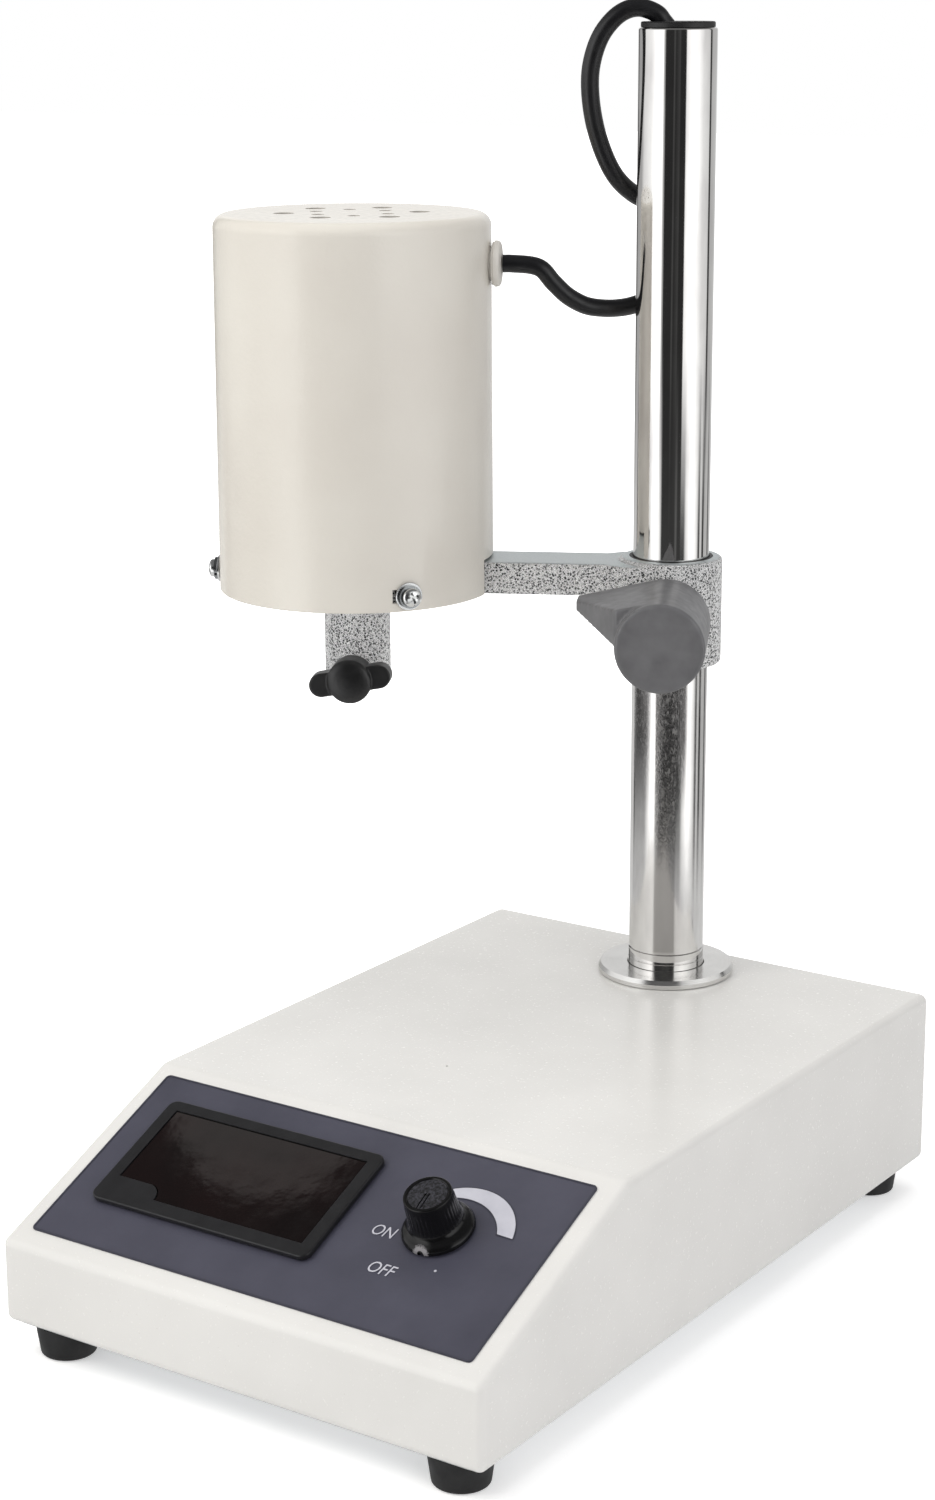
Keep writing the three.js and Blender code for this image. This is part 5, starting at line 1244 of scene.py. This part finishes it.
# column, its flange, cap and clamp bush
def makeColumn():
    size = columnSizes
    radius, bore, top, chamfer = size["radius"], size["bore"], size["top"], size["chamfer"]
    profile = [(bore, size["bottom"]), (radius, size["bottom"])]
    edge = size["beadEdge"]
    for low, high, rise in size["beads"]:
        profile += [(radius, low), (radius + rise, low + edge), (radius + rise, high - edge), (radius, high)]
    (low, high, depth), edge = size["joint"], size["jointEdge"]
    profile += [(radius - depth, low + edge), (radius - depth, high - edge), (radius, high)]
    rounding = arcPoints(radius - chamfer, top - chamfer, chamfer, 0, 70, 4)
    edge = size["mouthEdge"]
    profile += [*rounding, (bore + edge, top), (bore, top - edge), (bore, size["bottom"])]
    column = objectFrom("column", lathe(profile, size["sides"]), columnPlace)
    dressed(column, chrome, "base", ["column"], None, 25)
    outer, bevel = size["flangeRadius"], size["flangeBevel"]
    low, high, edge, gap = size["flangeLow"], size["flangeTop"], size["flangeEdge"], size["flangeGap"]
    rim = [(outer - edge, low), (outer, low + edge), (outer, high - bevel), (outer - bevel / 2, high)]
    inside = [(radius + 2 * gap, high), (radius + gap, high - gap), (radius + gap, low)]
    ring = [(radius + gap, low), *rim, *inside]
    flange = objectFrom("columnFlange", lathe(ring, size["sides"]), columnPlace)
    dressed(flange, flangeChrome, "base", ["column_flange"], None, 25)
    low, high, edge = size["capLow"], size["capTop"], size["capEdge"]
    rounding = arcPoints(size["capRadius"] - edge, high - edge, edge, 0, 90, 5)
    plug = [(0, size["plugLow"]), (size["plugRadius"], size["plugLow"]), (size["plugRadius"], low)]
    capProfile = [*plug, (size["capRadius"], low), *rounding, (0, high)]
    cap = objectFrom("columnCap", lathe(capProfile, 96), columnPlace)
    x, y = leadSizes["holeOffset"]
    hole = turned(rod(size["capHole"], -leadSizes["holeDepth"] - 0.3, 8, 48), 90 - leadSizes["holeLean"], "Y")
    cutAway(cap, [shifted(turned(hole, math.degrees(math.atan2(y, x))), x, y, high)], columnPlace)
    dressed(cap, capPlastic, "base", ["column_cap"], None, 40)
    # the dark bush that shows in the bracket's bore is also painted shade for the gap round the column
    inner, outer, low, high = size["bush"]
    sleeve = [(inner, low), (outer, low), (outer, high), (inner, high), (inner, low)]
    bush = objectFrom("clampBush", lathe(sleeve, 96), columnPlace)
    dressed(bush, darkBushAndGapShade, "clamp_bush", ["clamp_bush"])


# bracket: one casting, its forms joined and softened, and its bores cut afterwards
bracketSizes = {
    "ringInner": 13.7,
    "ringOuter": 16.85,
    "ringLow": 166,
    "ringTop": 201.5,
    "ringEdge": 1.3,
    "screwBoss": (8.6, 20.9, 184),
    "studHole": 4.2,
    "armWidth": 21,
    "armLow": 189.3,
    "armTop": 200,
    "armEnd": 62.9,
    "armFlare": 6,
    "plate": (43.6, 189.9, 199.5, 12.5),
    "voxel": 0.62,
    "boss": (11, 157, 189.8, 6.25),
    "bossFillet": 3,
    "bossEdge": 0.7,
    "wingHeight": 162,
    "wingHole": 2.7,
}


def bend(first, corner, last, steps=10):  # a quadratic curve between two points
    curve = []
    for k in range(1, steps + 1):
        t = k / steps
        ways = zip(first, corner, last)
        curve.append(tuple(a * (1 - t) ** 2 + 2 * b * t * (1 - t) + c * t * t for a, b, c in ways))
    return curve


def outwards(shape, z):  # a form drawn up Z, laid to point out of the head
    return shifted(turned(shape, -90, "X"), 0, 0, z)


def castTogether(obj, voxel, passes):
    remesh = obj.modifiers.new("remesh", "REMESH")
    remesh.mode = "VOXEL"
    remesh.voxel_size = voxel * mm
    settled(obj)
    smooth = obj.modifiers.new("smooth", "SMOOTH")
    smooth.factor = 0.5
    smooth.iterations = passes
    return settled(obj)


def makeBracket():
    size = bracketSizes
    outer, edge = size["ringOuter"], size["ringEdge"]
    low, high = size["ringLow"], size["ringTop"]
    ring = [
        (0, low),
        *arcPoints(outer - edge, low + edge, edge, -90, 0, 6),
        *arcPoints(outer - edge, high - edge, edge, 0, 90, 6),
        (0, high),
    ]
    half, root = size["armWidth"] / 2, (size["ringInner"] + outer) / 2
    start, flareEnd = outer - 0.8, (root + size["armFlare"], half)
    flare = bend((0, start), (root, start), flareEnd)
    end = size["armEnd"]
    mirrored = [(x, -y) for x, y in flare]
    armOutline = [(0, -start), *mirrored, (end, -half), (end, half), *flare[::-1], (0, start)]
    radius, reach, z = size["screwBoss"]
    casting = objectFrom("bracket", lathe(ring, 128), headPlace)
    arm = objectFrom("arm", prism(armOutline, size["armLow"], size["armTop"]), headPlace)
    boolean(casting, softened(arm, 0.5, 2, 40), "UNION")
    joinTo(casting, [outwards(rod(radius, 4, reach, 64), z)], headPlace)
    castTogether(casting, size["voxel"], 3)
    bore = rod(size["ringInner"], low - overrun, high + overrun, 128)
    stud = outwards(rod(size["studHole"], 6, reach + overrun, 32), z)
    cutAway(casting, [bore, stud], headPlace)
    radius, low, high, bearing = size["plate"]
    plate = [(bearing, low), (radius, low), (radius, high), (bearing, high), (bearing, low)]
    joinTo(casting, [lathe(plate)], motorPlace)
    dressed(casting, hammered, "head", ["bracket"], None, 34)
    radius, low, high, bore = size["boss"]
    fillet, edge = size["bossFillet"], size["bossEdge"]
    profile = [
        (bore, low + 0.3),
        (bore + 0.3, low),
        *arcPoints(radius - edge, low + edge, edge, -90, 0, 5),
        *arcPoints(radius + fillet, high - fillet, fillet, 180, 90, 8),
        (bore, high),
        (bore, low + 0.3),
    ]
    boss = objectFrom("toolBoss", lathe(profile, 96), motorPlace)
    cutAway(boss, [outwards(rod(size["wingHole"], 0, radius + overrun, 32), size["wingHeight"])], motorPlace)
    dressed(boss, hammered, "head", ["tool_boss"], None, 34)


# motor cover: a drawn can; its two rings of vents are a rule
coverSizes = {
    "radius": 45.5,
    "topRadius": 45.1,
    "low": 189.2,
    "top": 312,
    "wall": 1.5,
    "topWall": 0.8,
    "edge": 4.2,
    "footInside": 0.2,
    "footOutside": 0.35,
    "sides": 180,
    "vents": {
        "Count": 6,
        "Inner circle": 13.0,
        "Inner hole": 2.1,
        "Inner start": 42.0,
        "Outer circle": 22.0,
        "Outer hole": 3.4,
        "Outer start": 12.0,
    },
    "drill": 8.0,  # the depth of what cuts a vent
    "screwHeight": 194.3,
    "slot": (4.4, -6.6, 3.0),
    "notch": (11.4, 200.9),
    "leadHole": 5.5,
}


def perforate(cover, top):
    rule = Rule("vents", **coverSizes["vents"])
    given = rule.given
    drills = []
    for ring in ("Inner", "Outer"):
        spots, _ = rule.onCircle(given["Count"], given[f"{ring} circle"], given[f"{ring} start"], top)
        inputs = {"Vertices": 48, "Radius": given[f"{ring} hole"], "Depth": coverSizes["drill"]}
        drill = rule.add("GeometryNodeMeshCylinder", inputs)
        copies = rule.add("GeometryNodeInstanceOnPoints", {"Points": spots, "Instance": drill})
        drills.append(rule.add("GeometryNodeRealizeInstances", {"Geometry": copies}))
    joined = rule.add("GeometryNodeJoinGeometry", {"Geometry": drills})
    inputs = {"Mesh 1": given["Geometry"], "Mesh 2": joined}
    pierced = rule.add("GeometryNodeMeshBoolean", inputs, operation="DIFFERENCE", solver="EXACT")
    rule.end(pierced, ivory)
    rule.runOn(cover)


def makeCover():
    size = coverSizes
    radius, topRadius, wall, edge = size["radius"], size["topRadius"], size["wall"], size["edge"]
    low, top, underTop = size["low"], size["top"], size["top"] - size["topWall"]
    inside, outside = size["footInside"], size["footOutside"]
    profile = [
        (radius - wall, low + inside),
        (radius - wall + inside, low),
        (radius - outside, low),
        (radius, low + outside),
        *arcPoints(topRadius - edge, top - edge, edge, 0, 90, 14),
        (0, top),
        (0, underTop),
        (topRadius - edge - 3, underTop),
        *arcPoints(topRadius - edge, top - edge, edge - wall, 90, 0, 6),
        (radius - wall, low + inside),
    ]
    cover = objectFrom("motorCover", lathe(profile, size["sides"]), Matrix.Identity(4))
    perforate(cover, top)
    cover.data.transform(motorPlace)
    height, before, after = size["slot"]
    cuts = []
    for k in range(3):
        outline = [
            (reach * math.cos(math.radians(a)), reach * math.sin(math.radians(a)))
            for reach, angles in ((radius - wall - 3, (after, before)), (radius + 3, (before, after)))
            for a in angles
        ]
        slotCut = prism(outline, size["screwHeight"] - height / 2, size["screwHeight"] + height / 2)
        cuts.append(turned(slotCut, 120 * k))
    half, notchTop = size["notch"]
    cuts.append(prism(rectangle(40, 2 * half, 0, -radius, 0), low - overrun, notchTop))
    leadHole = turned(rod(size["leadHole"], radius - wall - overrun, radius + overrun), -90, "Y")
    cuts.append(shifted(leadHole, 0, 0, leadSizes["grommetHeight"]))
    cutAway(cover, cuts, motorPlace)
    dressed(cover, ivory, "head", ["motor_cover"], None, 40)


# cover screws and their washers: three copies round the motor's axis by one rule
screwSizes = {
    "ring": {"Count": 3, "Reach": 45.8, "Height": coverSizes["screwHeight"], "Start": 0.0},
    "flat": (4.5, 0.8, 2.2),
    "flatEdge": 0.12,
    "spring": (3.75, 1.1, 2.1, 0.9, 60),
    "springLow": 0.9,
    "head": (3.0, 2.2),
    "headLow": 2.1,
    "headShares": (0.42, 0.58),  # of its height: the straight side and the crown
    "threadRadius": 1.75,
    "threadLength": 9,
    "threadPitch": 0.7,
    "threadDepth": 0.3,
    "threadRoot": 0.05,
    "cross": (3.9, 0.95, 1.5),
}


def ringOfCopies(name, shape, material, nodes, angle=34):
    piece = objectFrom(name, shape, Matrix.Identity(4))
    rule = Rule(name, **screwSizes["ring"])
    given = rule.given
    spots, turns = rule.onCircle(given["Count"], given["Reach"], given["Start"], given["Height"])
    lean = rule.add("ShaderNodeCombineXYZ", [0.0, math.pi / 2, turns])
    inputs = {"Points": spots, "Instance": given["Geometry"], "Rotation": lean}
    rule.end(rule.add("GeometryNodeInstanceOnPoints", inputs), material)
    rule.runOn(piece)
    piece.data.transform(motorPlace)
    return dressed(piece, material, "head", nodes, None, angle)


def cutShape(shape, cutters):  # a shape with others cut out of it, before it has a place
    whole = objectFrom("whole", shape, Matrix.Identity(4))
    cutAway(whole, cutters, Matrix.Identity(4))
    cut = bmesh.new()
    cut.from_mesh(whole.data)
    bpy.data.objects.remove(whole)
    return cut


def makeScrews():
    size = screwSizes
    radius, thickness, bore = size["flat"]
    edge = size["flatEdge"]
    flatProfile = [
        (bore, 0),
        (radius - edge, 0),
        (radius, edge),
        (radius, thickness - edge),
        (radius - edge, thickness),
        (bore, thickness),
        (bore, 0),
    ]
    ringOfCopies("flatWashers", lathe(flatProfile, 64), zinc, [f"flat_washer_{k}" for k in (1, 2, 3)])
    radius, thickness, bore, split, angle = size["spring"]
    low, high = size["springLow"], size["springLow"] + thickness
    coil = lathe([(bore, low), (radius, low), (radius, high), (bore, high), (bore, low)], 64)
    splitCoil = cutShape(coil, [turned(block(1, 5, 0, split, 0, 4), angle)])
    # the spring washers' darker steel is painted shade round the screw heads
    ringOfCopies("springWashers", splitCoil, shadedSpringSteel, [f"spring_washer_{k}" for k in (1, 2, 3)])
    radius, height = size["head"]
    low, thread, pitch = size["headLow"], size["threadRadius"], size["threadPitch"]
    core, root = thread - size["threadDepth"], size["threadRoot"]
    side, crown = size["headShares"]
    turns = int(size["threadLength"] / pitch)
    profile = [(0, low - turns * pitch)]
    for k in range(turns):
        z = low - (turns - k) * pitch
        profile += [(core, z + root), (thread, z + pitch / 2)]
    profile += [(core, low - root), (thread, low), (radius, low), (radius, low + height * side)]
    for angle in range(15, 90, 15):
        slant = math.radians(angle)
        profile.append((radius * math.cos(slant), low + height * (side + crown * math.sin(slant))))
    length, width, depth = size["cross"]
    blades = []
    for angle in (20, 110):
        blade = block(-length / 2, length / 2, -width / 2, width / 2, low + height - depth, low + height + 1)
        blades.append(turned(blade, angle))
    screw = cutShape(lathe([*profile, (0, low + height)], 48), blades)
    ringOfCopies("coverScrews", screw, zinc, [f"cover_screw_{k}" for k in (1, 2, 3)], 30)


# cable grommet in the cover
grommetSizes = {
    "radius": 7.4,
    "neck": 5.2,
    "back": (6.4, -4.4, -2.8),
    "rise": 3.3,
    "hole": 2.95,
    "low": 0.3,
    "step": (0.5, 0.55, 0.7),  # under the rim: how far it lies back, and the heights it widens between
    "crown": (1.3, 1.7),  # radius of the rounded rim and the height where it starts
    "lip": (1.4, 0.6, 0.1, 0.4),  # from the hole: where it starts and peaks; its rise and its fall
}


def makeGrommet():
    size = grommetSizes
    radius, rise, low = size["radius"], size["rise"], size["low"]
    backRadius, backLow, backTop = size["back"]
    back, wideFrom, wideTo = size["step"]
    crown, shoulder = size["crown"]
    lipStart, lipPeak, lipRise, lipFall = size["lip"]
    profile = [
        (size["hole"], backLow),
        (backRadius, backLow),
        (backRadius, backTop),
        (size["neck"], backTop),
        (size["neck"], low),
        (radius - back, low),
        (radius - back, low + wideFrom),
        (radius, low + wideTo),
        (radius, shoulder),
        *arcPoints(radius - crown, shoulder, crown, 15, 75, 5),
        (size["hole"] + lipStart, rise - lipRise),
        (size["hole"] + lipPeak, rise),
        (size["hole"], rise - lipFall),
        (size["hole"], backLow),
    ]
    place = motorPlace @ Matrix.Translation((-coverSizes["radius"], 0, leadSizes["grommetHeight"]))
    grommet = objectFrom("cableGrommet", lathe(profile, 64), place @ Matrix.Rotation(-math.pi / 2, 4, "Y"))
    dressed(grommet, softVinyl, "head", ["cable_grommet"])


# clamp knob: a long round grip with one tapered lever, softly blended
clampSizes = {
    "height": 184,
    "radius": 14.2,
    "rear": 22,
    "front": 64,
    "edge": 0.9,
    "leverReach": 28.7,
    "tipLow": 4.6,
    "tipHigh": 8,
    "rootLow": -0.5,
    "tangent": 104,
    "tipDepth": 8,
    "rootDepth": 38,
    "voxel": 0.55,
    "bore": (4.2, 20),
}
wingSizes = {
    "height": 160.8,
    "hubRadius": 7.4,
    "rear": 11.4,
    "length": 10.4,
    "dome": 2.2,
    "span": 13.8,
    "wingHeight": 8,
    "wingStart": 1.6,
    "wingDepth": 6.2,
    "tilt": 10,
    "voxel": 0.3,
    "bore": (2.7, 7),
}


def makeClampKnob():
    size = clampSizes
    radius, rear, front, edge = size["radius"], size["rear"], size["front"], size["edge"]
    place = outwardPlace(columnAt(0, 0, size["height"]), headOutward)
    grip = [(0, rear), (radius - edge, rear), (radius, rear + edge)]
    grip += [*arcPoints(radius - edge, front - edge, edge, 0, 90, 6), (0, front)]
    reach, root = size["leverReach"], size["rootLow"]
    tangent = math.radians(size["tangent"])
    crown = (radius * math.cos(tangent), radius * math.sin(tangent))
    tip = [(-reach, size["tipLow"]), (-reach, size["tipHigh"])]
    face = [(0, root), (-radius, root), *tip, crown, (0, crown[1] - edge)]
    knob = objectFrom("clampKnob", lathe(grip, 128), place)
    lever = objectFrom("lever", prism(face, rear, front), place)
    rootEnd, tipEnd = rear + size["rootDepth"], rear + size["tipDepth"]
    past = reach + overrun
    slantFace = [
        (-past, rear - overrun),
        (overrun, rear - overrun),
        (overrun, rootEnd + 1),
        (-radius, rootEnd),
        (-reach, tipEnd),
        (-past, tipEnd),
    ]
    slant = turned(prism(slantFace, -2 * radius, 2 * radius), 90, "X")
    boolean(lever, moved(slant, place), "INTERSECT")
    boolean(knob, lever, "UNION")
    castTogether(knob, size["voxel"], 4)
    radius, depth = size["bore"]
    cutAway(knob, [rod(radius, rear - overrun, rear + depth)], place)
    dressed(knob, gripPlastic, "clamp_knob", ["clamp_knob"], None, 40)


def makeWingKnob():
    size = wingSizes
    radius, rear, dome = size["hubRadius"], size["rear"], size["dome"]
    front = rear + size["length"]
    place = outwardPlace(motorAt(0, 0, size["height"]), headOutward)
    hub = [(0, rear), (radius - 0.3, rear), (radius, rear + 0.3), (radius, front - dome)]
    for k in range(1, 6):
        slant = math.radians(15 * k)
        hub.append((radius * math.cos(slant), front - dome + dome * math.sin(slant)))
    knob = objectFrom("wingKnob", lathe([*hub, (0, front)], 96), place)
    start = rear + size["wingStart"]
    bar = rectangle(size["span"] * 2, size["wingHeight"], size["wingHeight"] / 2 - 0.01, 0, 0, 16)
    wings = objectFrom("wings", turned(prism(bar, start, start + size["wingDepth"]), size["tilt"]), place)
    boolean(knob, softened(wings, 0.8, 4, 40), "UNION")
    castTogether(knob, size["voxel"], 5)
    radius, depth = size["bore"]
    cutAway(knob, [rod(radius, rear - overrun, rear + depth)], place)
    dressed(knob, wingPlastic, "tool_screw", ["wing_knob"], None, 40)


# feet: four copies on a grid by one rule
footSizes = {
    "grid": {"Across": 142.0, "Along": 242.5, "Drop": 0.1},
    "height": 10.2,
    "topRadius": 9.65,
    "bottomRadius": 8.4,
    "edge": 1.0,
    "recess": (4.4, 4.6),
    "bore": 2.1,
}


def makeFeet():
    size = footSizes
    low = -size["height"]
    recess, depth = size["recess"]
    profile = [
        (size["bore"], low + depth),
        (recess, low + depth),
        (recess, low + 0.3),
        (recess + 0.3, low),
        *arcPoints(size["bottomRadius"] - size["edge"], low + size["edge"], size["edge"], -90, -8, 5),
        (size["topRadius"], -0.4),
        (size["topRadius"] - 0.3, 0),
        (size["bore"], 0),
        (size["bore"], low + depth),
    ]
    feet = objectFrom("feet", lathe(profile, 64), Matrix.Identity(4))
    rule = Rule("feetGrid", **size["grid"])
    given = rule.given
    inputs = {"Size X": given["Across"], "Size Y": given["Along"], "Vertices X": 2, "Vertices Y": 2}
    grid = rule.add("GeometryNodeMeshGrid", inputs)
    down = rule.add("ShaderNodeMath", [given["Drop"], -1.0], operation="MULTIPLY")
    drop = rule.add("ShaderNodeCombineXYZ", {"Z": down})
    lowered = rule.add("GeometryNodeSetPosition", {"Geometry": grid, "Offset": drop})
    copies = rule.add("GeometryNodeInstanceOnPoints", {"Points": lowered, "Instance": given["Geometry"]})
    rule.end(copies, footRubber)
    rule.runOn(feet)
    feet.data.transform(worldPlace)
    names = [f"foot_{end}_{side}" for end in ("front", "rear") for side in ("left", "right")]
    dressed(feet, footRubber, "base", names)


# fuse holder's cap at the back
fuseSizes = {
    "radius": 6,
    "low": 1.8,
    "height": 5.8,
    "edge": 0.9,
    "slot": (8, 1.2, 1.4),
    "grooves": (20, 0.25, 0.6, 0.9, 1.2),  # number, depth and width, and their distance from both ends
}


def makeFuseCap():
    size = fuseSizes
    _, x, z = panelCuts["fuse"]
    radius, low, edge = size["radius"], size["low"], size["edge"]
    high = low + size["height"]
    place = outwardPlace(baseAt(x, caseSizes["depth"] / 2, z), Vector((0, 1, 0)))
    profile = [(0, low), (radius - 0.2, low), (radius, low + 0.2)]
    profile += [*arcPoints(radius - edge, high - edge, edge, 0, 90, 6), (0, high)]
    cap = objectFrom("fuseCap", lathe(profile, 80), place)
    length, width, depth = size["slot"]
    cuts = [block(-length / 2, length / 2, -width / 2, width / 2, high - depth, high + overrun)]
    count, deep, wide, fromLow, fromHigh = size["grooves"]
    for k in range(count):
        groove = block(radius - deep, radius + 1, -wide / 2, wide / 2, low + fromLow, high - fromHigh)
        cuts.append(turned(groove, 360 * k / count))
    cutAway(cap, [merged(cuts)], place)
    dressed(cap, darkPlastic, "base", ["fuse_cap"])


makeBase()
makePanel()
makePrint()
makeSpeedKnob()
makeColumn()
print("base, panel, knob and column made")
makeBracket()
makeCover()
makeScrews()
makeGrommet()
makeClampKnob()
makeWingKnob()
makeFeet()
makeFuseCap()
print("head, knobs and feet made")


# studio: pale floor, soft light, and what the polished parts mirror
studioSizes = {
    "floor": 6000,
    "key": {"place": (-820, -900, 1250), "size": 900, "power": 9.8, "colour": "#FFFDF8"},
    "fill": {"place": (1300, -500, 700), "size": 1200, "power": 3.9, "colour": "#FBFAFF"},
    "top": {"place": (-150, 100, 1500), "size": 1500, "power": 7.4, "colour": "#FFFFFF"},
    "panelGlow": {"place": (-1080, 358, 1510), "size": 178, "power": 0.062, "colour": "#FFF8F4"},
    "world": 0.61,
    "overhead": 0.17,  # how bright the room above looks in a polished surface
    "overheadFrom": (0.3, 0.72),
    "near": (0.25, 0.50),  # metres from the column between which the mirrored floor turns from pale to banded
    "far": (1.0, 2.4),  # metres between which the lower bands give way to the upper ones
    "whiteout": (0.30, 0.62),  # metres between which the floor that the camera sees turns plain white
    "lift": 0.4,
}
lowerBands = [  # by the angle round the column from the camera's side, in degrees, and brightness
    (-180, 0.72), (-134, 0.72), (-133, 0.03), (-127, 0.03), (-126, 0.34), (-80, 0.38), (-72, 1.0), (-58, 2.0),
    (-50, 2.0), (-39, 1.0), (-34, 0.05), (3, 0.045), (8, 0.15), (13, 0.05), (33, 0.05), (39, 1.0), (54, 1.8),
    (62, 1.8), (78, 1.0), (84, 0.06), (89, 0.06), (90, 0.8), (98, 0.7), (100, 0.03), (107, 0.03), (109, 0.62),
    (128, 0.6), (130, 0.1), (138, 0.12), (140, 0.66), (180, 0.66),
]
upperBands = [
    (-180, 0.85), (-164, 0.85), (-162, 0.04), (-154, 0.04), (-151, 0.42), (-125, 0.5), (-112, 1.0),
    (-86, 1.2), (-58, 2.0), (-47, 2.0), (-44, 1.0), (-42, 0.5), (-40, 0.4), (-38, 0.03), (-15, 0.03),
    (-13, 0.09), (-8, 0.03), (4, 0.07), (6, 0.03), (21, 0.03), (23, 1.3), (40, 1.7), (62, 1.5), (80, 1.0),
    (105, 0.8), (107, 0.05), (114, 0.05), (116, 0.55), (150, 0.62), (160, 0.85), (180, 0.85),
]


def bandRamp(tree, angle, bands):
    brightest = max(value for _, value in bands)  # a colour ramp holds values up to 1
    stops = [((degrees + 180) / 360, (*[value / brightest] * 3, 1)) for degrees, value in bands]
    shares = addNode(tree, "ShaderNodeValToRGB", [angle], stops=stops)
    return addNode(tree, "ShaderNodeVectorMath", {0: shares, "Scale": brightest}, operation="SCALE")


def aroundColumn(tree, vector):  # from 0 to 1 round the column, with the camera's side at a half
    azimuth = math.radians(cameraSizes["azimuth"])
    forward = (math.sin(azimuth), -math.cos(azimuth), 0)
    sideways = (math.cos(azimuth), math.sin(azimuth), 0)
    parts = [
        addNode(tree, "ShaderNodeVectorMath", [vector, axis], "Value", operation="DOT_PRODUCT")
        for axis in (sideways, forward)
    ]
    angle = addNode(tree, "ShaderNodeMath", parts, operation="ARCTAN2")
    return addNode(tree, "ShaderNodeMapRange", [angle, -math.pi, math.pi])


def makeFloor():
    size = studioSizes
    width = 2 * size["floor"]
    floor = objectFrom("floor", prism(rectangle(width, width, 0), -1, 0), axisPlace(Vector((0, 0, ground))))
    material = bpy.data.materials.new("paleFloor")
    material.use_nodes = True
    tree = material.node_tree
    tree.nodes.clear()
    place = addNode(tree, "ShaderNodeTexCoord", output="Object")
    cloud = addNode(tree, "ShaderNodeTexNoise", {"Vector": place, "Scale": grain(60), "Detail": 2})
    tone = addNode(tree, "ShaderNodeValToRGB", [cloud], stops=tones("#F7F7F7", "#FBFBFB"))
    diffuse = addNode(tree, "ShaderNodeBsdfDiffuse", {"Color": tone})
    fromColumn = addNode(tree, "ShaderNodeVectorMath", [place, columnXY], operation="SUBTRACT")
    flatways = addNode(tree, "ShaderNodeVectorMath", [fromColumn, (1, 1, 0)], operation="MULTIPLY")
    distance = addNode(tree, "ShaderNodeVectorMath", [flatways], "Value", operation="LENGTH")
    smooth = {"interpolation_type": "SMOOTHSTEP"}
    far = addNode(tree, "ShaderNodeMapRange", [distance, *size["far"]], **smooth)
    near = addNode(tree, "ShaderNodeMapRange", [distance, *size["near"]], **smooth)
    lift = addNode(tree, "ShaderNodeMapRange", [distance, *size["whiteout"], size["lift"], 1.0], **smooth)
    around = aroundColumn(tree, fromColumn)
    inputs = {0: far, 6: bandRamp(tree, around, lowerBands), 7: bandRamp(tree, around, upperBands)}
    bands = addNode(tree, "ShaderNodeMix", inputs, 2, data_type="RGBA")
    inputs = {0: near, 6: linear("#DDDDDD"), 7: bands}
    mirrored = addNode(tree, "ShaderNodeMix", inputs, 2, data_type="RGBA")
    glow = addNode(tree, "ShaderNodeEmission", {"Color": mirrored})
    path = addNode(tree, "ShaderNodeLightPath").node.outputs
    shown = addNode(tree, "ShaderNodeMath", [lift, path["Is Camera Ray"]], operation="MULTIPLY")
    white = addNode(tree, "ShaderNodeEmission", {"Color": linear("#FFFFFF"), "Strength": shown})
    lifted = addNode(tree, "ShaderNodeAddShader", [diffuse, white])
    mixed = addNode(tree, "ShaderNodeMixShader", [path["Is Glossy Ray"], lifted, glow])
    addNode(tree, "ShaderNodeOutputMaterial", {"Surface": mixed})
    floor.data.materials.append(material)


def makeWorld():
    size = studioSizes
    world = bpy.data.worlds.new("studioWorld")
    world.use_nodes = True
    bpy.context.scene.world = world
    tree = world.node_tree
    tree.nodes.clear()
    direction = addNode(tree, "ShaderNodeTexCoord", output="Generated")
    height = addNode(tree, "ShaderNodeSeparateXYZ", [direction], "Z")
    span = [height, *size["overheadFrom"]]
    upward = addNode(tree, "ShaderNodeMapRange", span, interpolation_type="SMOOTHSTEP")
    bands = bandRamp(tree, aroundColumn(tree, direction), upperBands)
    inputs = {0: upward, 6: bands, 7: (*[size["overhead"]] * 3, 1)}
    surroundings = addNode(tree, "ShaderNodeMix", inputs, 2, data_type="RGBA")
    ambient = addNode(tree, "ShaderNodeBackground", {"Color": linear("#FFFEFD"), "Strength": size["world"]})
    mirrored = addNode(tree, "ShaderNodeBackground", {"Color": surroundings})
    white = addNode(tree, "ShaderNodeBackground", {"Color": linear("#FFFFFF")})
    path = addNode(tree, "ShaderNodeLightPath").node.outputs
    glossy = addNode(tree, "ShaderNodeMixShader", [path["Is Glossy Ray"], ambient, mirrored])
    seen = addNode(tree, "ShaderNodeMixShader", [path["Is Camera Ray"], glossy, white])
    addNode(tree, "ShaderNodeOutputWorld", {"Surface": seen})


def makeLight(name, place, size, power, colour):
    data = bpy.data.lights.new(name, "AREA")
    data.shape = "DISK"
    data.size = size * mm
    data.energy = power
    data.color = linear(colour)[:3]
    light = bpy.data.objects.new(name, data)
    bpy.context.scene.collection.objects.link(light)
    mirroredOnly = name.startswith("panelGlow")  # seen only in the display window and other gloss
    aim = boxCentre("display_window" if mirroredOnly else "column")
    light.location = Vector(place) * mm
    light.rotation_euler = (light.location - aim).to_track_quat("Z", "Y").to_euler()
    light.visible_glossy = mirroredOnly
    light.visible_diffuse = not mirroredOnly


makeFloor()
makeWorld()
for lightName in ("key", "fill", "top", "panelGlow"):
    makeLight(f"{lightName}Light", *studioSizes[lightName].values())
bpy.context.scene.view_settings.view_transform = "Standard"
print("studio made")
